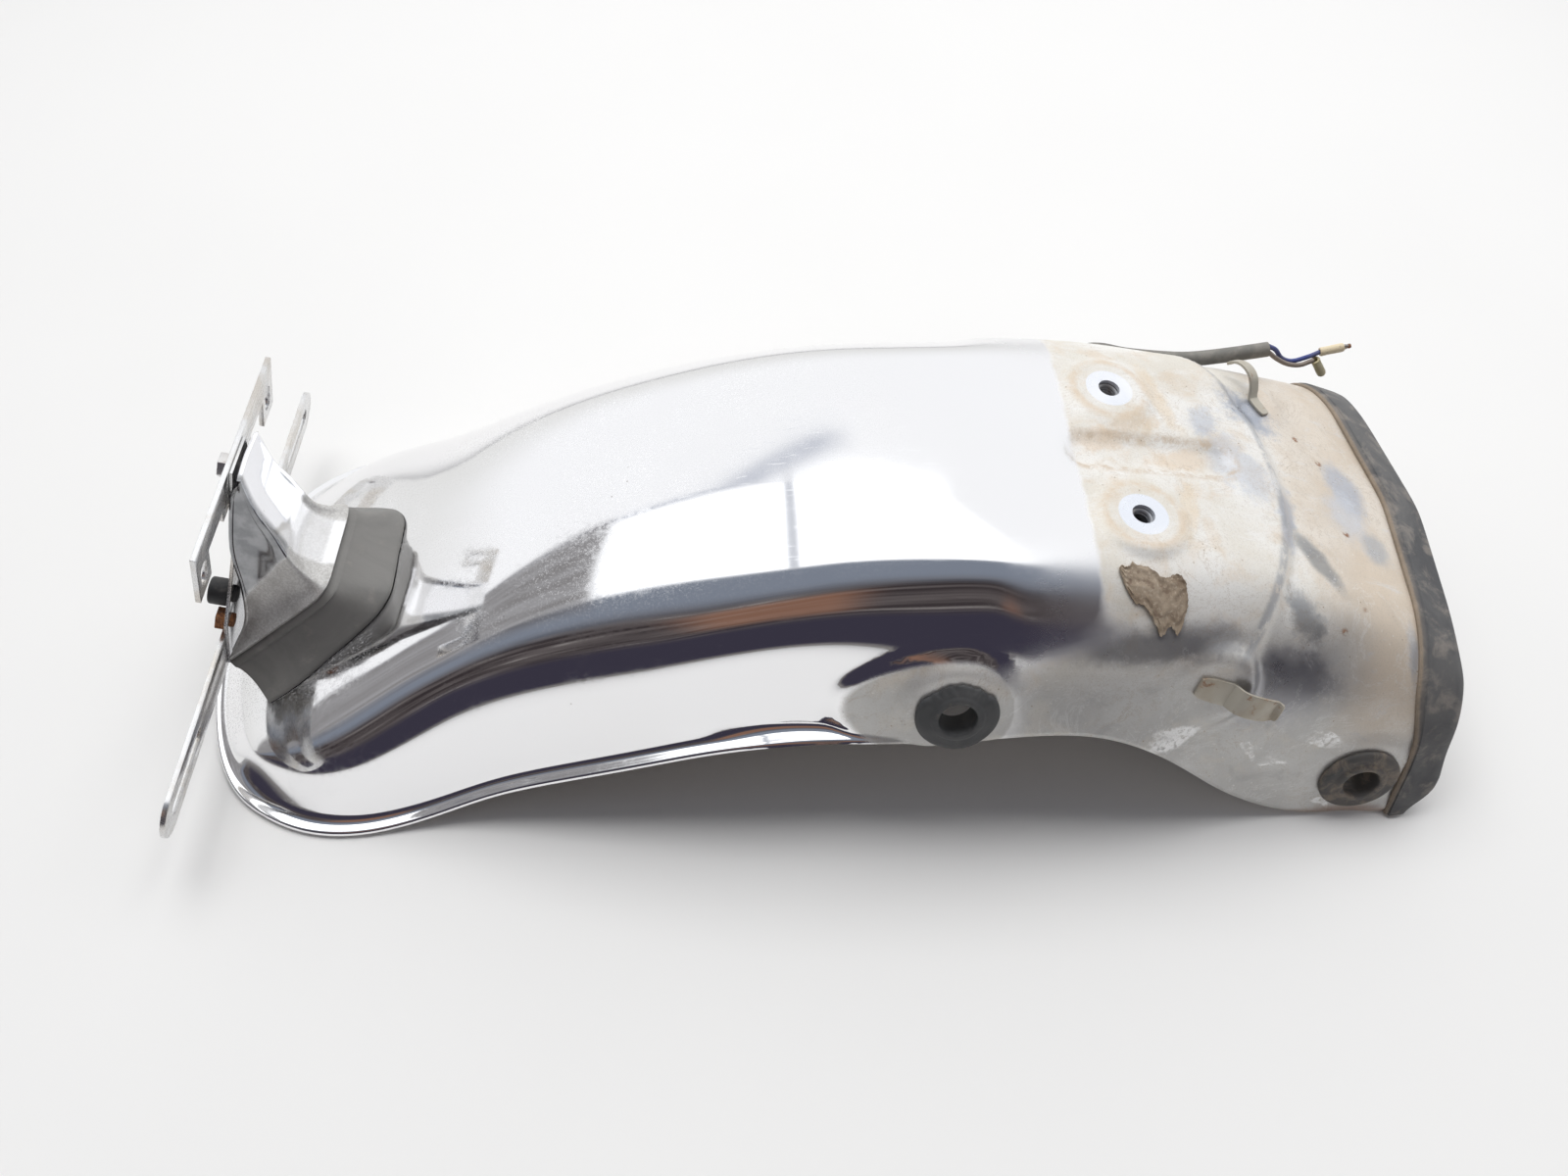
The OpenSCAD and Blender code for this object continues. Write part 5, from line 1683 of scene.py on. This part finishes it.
class Finish(Enum):
    """Named finishes of the plainer pieces."""

    EDGE_RUBBER = DustyRubber("edge_rubber", (0.06, 0.061, 0.065), (0.115, 0.114, 0.113), (0.34, 0.30, 0.26),
                              0.62, 0.55)
    GROMMET_RUBBER = DustyRubber("grommet_rubber", (0.05, 0.052, 0.054), (0.085, 0.086, 0.086),
                                 (0.30, 0.26, 0.21), 0.15, 0.5)
    GROMMET_TAN = DustyRubber("grommet_rubber", (0.05, 0.052, 0.054), (0.10, 0.09, 0.08), (0.34, 0.27, 0.20),
                              0.7, 0.55)
    GASKET_RUBBER = DustyRubber("gasket_rubber", (0.145, 0.142, 0.135), (0.19, 0.185, 0.175),
                                (0.30, 0.28, 0.25), 0.3, 0.5)
    BUSH_RUBBER = DustyRubber("bush_rubber", (0.02, 0.02, 0.021), (0.04, 0.04, 0.04), (0.20, 0.18, 0.16),
                              0.3, 0.5)
    NUT_STEEL = WornSteel("nut_steel", (0.42, 0.43, 0.45), (0.30, 0.25, 0.20), rusted=0.35, rough=0.4)
    CLIP_STEEL = WornSteel("clip_steel", (0.50, 0.47, 0.40), (0.40, 0.33, 0.24), (0.24, 0.12, 0.06), 0.36,
                           0.42, 0.45)
    BAR_STEEL = WornSteel("bar_steel", (0.74, 0.74, 0.74), (0.52, 0.46, 0.38), rusted=0.12, rough=0.26)
    BOLT_RUST = WornSteel("bolt_rust", (0.22, 0.15, 0.11), (0.17, 0.085, 0.045), (0.15, 0.06, 0.03), 0.9,
                          0.5, 0.6)
    BOLT_CLEAN = WornSteel("bolt_rust", (0.66, 0.65, 0.64), (0.46, 0.38, 0.30), rusted=0.25, rough=0.3)
    TERMINAL_METAL = WornSteel("terminal_metal", (0.40, 0.39, 0.37), (0.24, 0.19, 0.14), rusted=0.4,
                               rough=0.38)
    SHEATH_PLASTIC = SheathPlastic("sheath_plastic", (0.17, 0.165, 0.15), (0.30, 0.285, 0.25), 0.5, 0.48)
    WIRE_BLUE = SheathPlastic("wire_blue", (0.055, 0.075, 0.24), (0.20, 0.20, 0.26), 0.35, 0.42)
    WIRE_GREY = SheathPlastic("wire_grey", (0.23, 0.19, 0.16), (0.34, 0.30, 0.26), 0.4, 0.45)
    SLEEVE_CREAM = SheathPlastic("sleeve_cream", (0.70, 0.60, 0.42), (0.52, 0.42, 0.28), 0.4, 0.5)
    SLEEVE_TAN = SheathPlastic("sleeve_tan", (0.52, 0.46, 0.28), (0.38, 0.32, 0.20), 0.4, 0.5)

    def make(self) -> bpy.types.Material:
        """Builds the finish's material."""
        return self.value.make()


class Dresser:
    """Gives finishes to pieces and says which part of the frame each one stands for."""

    def __init__(self) -> None:
        """Starts with no material made."""
        self.made: dict[str, bpy.types.Material] = {}

    def material(self, key: str, make: Callable[[], bpy.types.Material]) -> bpy.types.Material:
        """One material for each finish, made when it is first wanted."""
        if key not in self.made:
            self.made[key] = make()
        return self.made[key]

    def coat(self, obj: bpy.types.Object, material: bpy.types.Material) -> None:
        """Makes a material the only one of a piece."""
        obj.data.materials.clear()
        obj.data.materials.append(material)

    def place(self, obj: bpy.types.Object, slot: str, *nodes: str) -> None:
        """Rides a piece on the body and hides what it stands for."""
        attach(obj, "root")
        if nodes:
            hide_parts(*nodes)
        LOG.info("%s: %d faces for %s", obj.name, len(getattr(obj.data, "polygons", [])),
                 ", ".join(nodes) or "detail")

    def plain(self, obj: bpy.types.Object, finish: Finish, *nodes: str) -> None:
        """Dresses a piece in a plain finish."""
        self.coat(obj, self.material(finish.name, finish.make))
        self.place(obj, finish.value.name, *nodes)


@dataclass
class PlateSupport:
    """Bars, bolts, bushes and web behind the stay, with their edges rounded."""

    dresser: Dresser

    def build(self) -> None:
        """Makes a finished copy of each piece, rounded by a width in millimetres, and dresses it."""
        plan = [
            ("upper_plate_bar", "upper_bar_plate", Finish.BAR_STEEL, 0.35),
            ("lower_plate_bar", "lower_bar_plate", Finish.BAR_STEEL, 0.4),
            ("plate_web", "web_plate", Finish.BAR_STEEL, 0.2),
            ("upper_bar_bolt", "upper_bolt_head", Finish.BOLT_CLEAN, 0.5),
        ]
        for kind, name, finish, width in (("bolt", "stay_bolt_head", Finish.BOLT_RUST, 0.5),
                                          ("bush", "bush", Finish.BUSH_RUBBER, 1.0)):
            plan += [(f"stay_{kind}_{tag}", f"{name}_{tag}", finish, width) for tag in ("right", "left")]
        for node, name, finish, width in plan:
            piece = Bench.copy_of(node, name, 3)
            Bench.bevel(piece, width, 3, 32)
            Bench.smooth(piece, 34)
            self.dresser.plain(piece, finish, node)


@dataclass
class Studio:
    """Camera, room, lamps and floor."""

    lens: float = 27.05
    pitch: float = 35.8
    yaw: float = -2.0
    camera_at: Spot = (-0.01848, -0.3121, 0.455)
    floor_colour: Colour = (0.80, 0.795, 0.78)

    def camera(self) -> None:
        """Camera at the photograph's viewing angle."""
        data = bpy.data.cameras.new("camera")
        data.lens = self.lens
        data.sensor_width = 36
        data.dof.use_dof = False
        obj = bpy.data.objects.new("camera", data)
        obj.location = self.camera_at
        obj.rotation_euler = (math.radians(self.pitch), 0, math.radians(self.yaw))
        bpy.context.scene.collection.objects.link(obj)
        bpy.context.scene.camera = obj

    def floor(self) -> None:
        """Plain pale floor."""
        Bench.clear()
        bpy.ops.mesh.primitive_circle_add(vertices=128, radius=4.0, fill_type="NGON",
                                          location=(0, 0, -0.0004))
        floor = bpy.context.object
        floor.name = floor.data.name = "studio_floor"
        Bench.settle(floor)
        g = Graph("studio_floor")
        tone = g.blend(g.rise(g.noise(3, 3), 0.35, 0.7), self.floor_colour,
                       tuple(c * 0.985 for c in self.floor_colour))
        floor.data.materials.append(g.finish(Base_Color=tone, Roughness=0.85))
        floor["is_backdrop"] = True

    def lamp(self, name: str, place: Point, aim: Point, size: tuple[float, float], power: float,
             colour: Colour = (1, 1, 1)) -> None:
        """Rectangular lamp that faces a point."""
        data = bpy.data.lights.new(name, "AREA")
        data.shape = "RECTANGLE"
        data.size, data.size_y = size
        data.energy = power
        data.color = colour
        obj = bpy.data.objects.new(name, data)
        obj.location = place
        obj.rotation_euler = (Vector(aim) - Vector(place)).to_track_quat("-Z", "Y").to_euler()
        obj.visible_glossy = False
        bpy.context.scene.collection.objects.link(obj)

    def room(self) -> None:
        """Room as a plain gradient: pale above, darker towards the side behind the camera."""
        world = bpy.data.worlds.new("room")
        bpy.context.scene.world = world
        world.use_nodes = True
        g = Nodes(world.node_tree, "Generated")
        x, y, z = g.axes()
        rise_z = g.math("MAXIMUM", z, 0.04)
        u, v = g.math("DIVIDE", x, rise_z), g.math("DIVIDE", y, rise_z)
        flow = g.node("ShaderNodeCombineXYZ")
        g.feed(flow.inputs[0], g.both(u, 0.7))
        g.feed(flow.inputs[1], g.both(v, 7.0))
        bands = g.noise(1.6, 5, 0.5, 0, flow.outputs[0])

        # Pale room ahead, with one grey stripe over the window
        stripe = g.both(g.rise(v, 0.905, 0.915), g.rise(v, 0.945, 0.935), g.rise(u, 0.10, -0.15))
        tone = g.layered(g.blend(g.rise(z, 0.0, 0.35), (0.80, 0.80, 0.79), (0.98, 0.985, 1.0)),
                         (stripe, 1.0, (0.45, 0.48, 0.56)))

        # Dark side behind the camera, with a warm place
        shade = g.layered(g.blend(g.rise(bands, 0.38, 0.60), (0.035, 0.028, 0.030), (0.115, 0.10, 0.10)),
                          (g.rise(bands, 0.60, 0.70), 1.0, (0.30, 0.28, 0.27)))
        warm = g.both(g.rise(v, -0.50, -0.62), g.rise(v, -1.35, -1.0), g.rise(u, -0.75, -0.45),
                      g.rise(u, 0.15, -0.1))
        behind = g.layered(g.blend(g.rise(v, -0.22, -0.55), (0.20, 0.225, 0.275), shade),
                           (g.rise(v, -1.1, -1.7), 1.0, (0.040, 0.036, 0.055)),
                           (warm, 0.65, (0.30, 0.15, 0.095)),
                           (g.rise(z, 0.06, 0.0), 1.0, (0.20, 0.19, 0.185)))

        # Window of two panes, the dull west side and the ground
        inside = g.both(g.rise(v, 0.02, 0.05), g.rise(v, 0.90, 0.87))
        left = g.both(g.rise(u, -0.86, -0.82), g.rise(u, -0.235, -0.245))
        right = g.both(g.rise(u, -0.215, -0.205), g.rise(u, 0.36, 0.30))
        west = g.both(g.rise(u, -0.80, -0.90), g.rise(v, 1.0, 0.9), g.rise(v, -0.25, 0.1))
        smoky = g.blend(g.rise(bands, 0.35, 0.65), (0.12, 0.11, 0.11), (0.26, 0.255, 0.265))
        mullion = g.both(inside, g.rise(u, -0.25, -0.24), g.rise(u, -0.20, -0.21))
        tone = g.layered(tone,
                         (g.rise(v, 0.06, 0.0), 1.0, behind),
                         (west, 0.88, smoky),
                         (mullion, 1.0, (0.55, 0.57, 0.62)),
                         (g.both(inside, g.either(left, right)), 1.0, (1.45, 1.47, 1.5)),
                         (g.rise(z, -0.01, -0.06), 1.0, (0.60, 0.60, 0.59)))
        background = g.tree.nodes["Background"]
        g.feed(background.inputs["Color"], tone)
        g.feed(background.inputs["Strength"], 1.0)

    def build(self) -> None:
        """Sets the room, the lamps and the floor."""
        bpy.context.scene.view_settings.view_transform = "Standard"
        self.room()
        self.floor()
        self.lamp("ceiling", (0.1, 0.6, 1.7), (0, 0, 0.05), (1.6, 1.2), 23)
        self.lamp("fill", (0.1, -1.2, 1.6), (0, 0, 0.05), (1.6, 0.9), 2.5)


@dataclass
class RearFender:
    """The whole part, built from its pieces."""

    form: FenderForm = field(default_factory=FenderForm)
    dresser: Dresser = field(default_factory=Dresser)

    def lead(self) -> None:
        """Lead with its sleeves and its terminal."""
        pieces = Lead().build()
        finishes = {"sheath": Finish.SHEATH_PLASTIC, "blue": Finish.WIRE_BLUE, "grey": Finish.WIRE_GREY,
                    "front": Finish.SLEEVE_CREAM, "side": Finish.SLEEVE_TAN, "tip": Finish.TERMINAL_METAL}
        for key, piece in pieces.items():
            finish = finishes[key]
            self.dresser.coat(piece, self.dresser.material(finish.name, finish.make))
            LOG.info("%s is laid", piece.name)

    def sheet(self) -> None:
        """Pressed sheet."""
        outside = self.dresser.material("chrome", lambda: FenderChrome().make(self.form))
        inside = self.dresser.material("inside", FenderInside().make)
        shell = FenderShell(self.form).build(outside, inside)
        self.dresser.place(shell, "fender_chrome", "fender_shell")

    def rubbers(self) -> None:
        """Front channel, grommets and the nuts' threads."""
        self.dresser.plain(FrontRubber(self.form).build(), Finish.EDGE_RUBBER, "front_edge_rubber")
        for tag, side in (("right", -1), ("left", 1)):
            torn = 2.2 if side < 0 else 0.0
            rear = Grommet(f"rear_grommet_{tag}", self.form.rear_seat, self.form.rear_lean, side, torn=torn)
            front = Grommet(f"front_grommet_{tag}", self.form.front_seat, self.form.front_lean, side)
            self.dresser.plain(rear.build(), Finish.GROMMET_RUBBER, f"grommet_rear_{tag}")
            self.dresser.plain(front.build(), Finish.GROMMET_TAN, f"grommet_front_{tag}")
            self.dresser.plain(NutThread(self.form, side).build(), Finish.NUT_STEEL)
            nut = Bench.copy_of(f"weld_nut_{tag}", f"nut_body_{tag}", 1)
            Bench.bevel(nut, 0.4, 2, 32)
            Bench.smooth(nut, 34)
            self.dresser.plain(nut, Finish.NUT_STEEL, f"weld_nut_{tag}")

    def clips(self) -> None:
        """Clips for the cables."""
        form = self.form
        side = CableClip("side_clip_strip",
                         [(-8, 0), (5, 0), (6.3, 0.8), (7.4, 2.6), (8.8, 4.1), (12, 4.9), (16.5, 4.8),
                          (20.5, 3.9),
                          (23, 2.9), (24.6, 3.2), (25.8, 4.6)],
                         10, at_wall(form.side_clip_seat, form.side_clip_lean, -1), 71, taper=0.25)
        crown = CableClip("crown_clip_strip",
                          [(-8, 0), (0, 0), (2.6, 1.2), (4.4, 3.8), (7.6, 6.8), (11.5, 7.9), (15.5, 7.2),
                           (18.6, 4.9),
                           (20, 2.4)],
                          5, at_crown(form.crown_clip_seat, form.crown_clip_tilt), 114)
        self.dresser.plain(side.build(), Finish.CLIP_STEEL, "side_clip")
        self.dresser.plain(crown.build(), Finish.CLIP_STEEL, "crown_clip")

    def tail(self) -> None:
        """Gasket, stay and plate bars."""
        fitting = TailFitting(self.form)
        self.dresser.plain(StayGasket(fitting).build(), Finish.GASKET_RUBBER, "stay_gasket")
        plating = self.dresser.material("stay", StayChrome().make)
        for piece in TailStay(fitting).build():
            self.dresser.coat(piece, plating)
            self.dresser.place(piece, "stay_chrome", "tail_stay")
        PlateSupport(self.dresser).build()

    def tape(self) -> None:
        """Torn tape."""
        piece = TornTape(self.form).build()
        self.dresser.coat(piece, self.dresser.material("tape", TapePaper().make))
        self.dresser.place(piece, "tape_paper", "tape_patch")

    def kept(self) -> None:
        """Gives the node that stays visible its finish."""
        self.dresser.coat(FRAME["nodes"]["lead_grommet"],
                          self.dresser.material("lead_grommet", Finish.BUSH_RUBBER.make))

    def build(self) -> None:
        """Builds every piece in order, the lead first."""
        for step in (self.lead, self.sheet, self.rubbers, self.clips, self.tail, self.tape, self.kept):
            step()
            LOG.info("%s done", step.__name__)


def write_sizes(first: object, last: object) -> None:
    """Turns the box of the frame and of the dressed part into lists of numbers."""
    rows = [[[float(c) for c in corner] for corner in box] for box in (first, last)]


def main() -> None:
    """Loads the frame, sets the stage and builds the fender."""
    logging.basicConfig(level=logging.INFO, format="%(name)s: %(message)s")
    FRAME.update(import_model())
    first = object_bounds()
    studio = Studio()
    studio.camera()
    RearFender().build()
    studio.build()
    write_sizes(first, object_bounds())


if __name__ == "__main__":
    main()
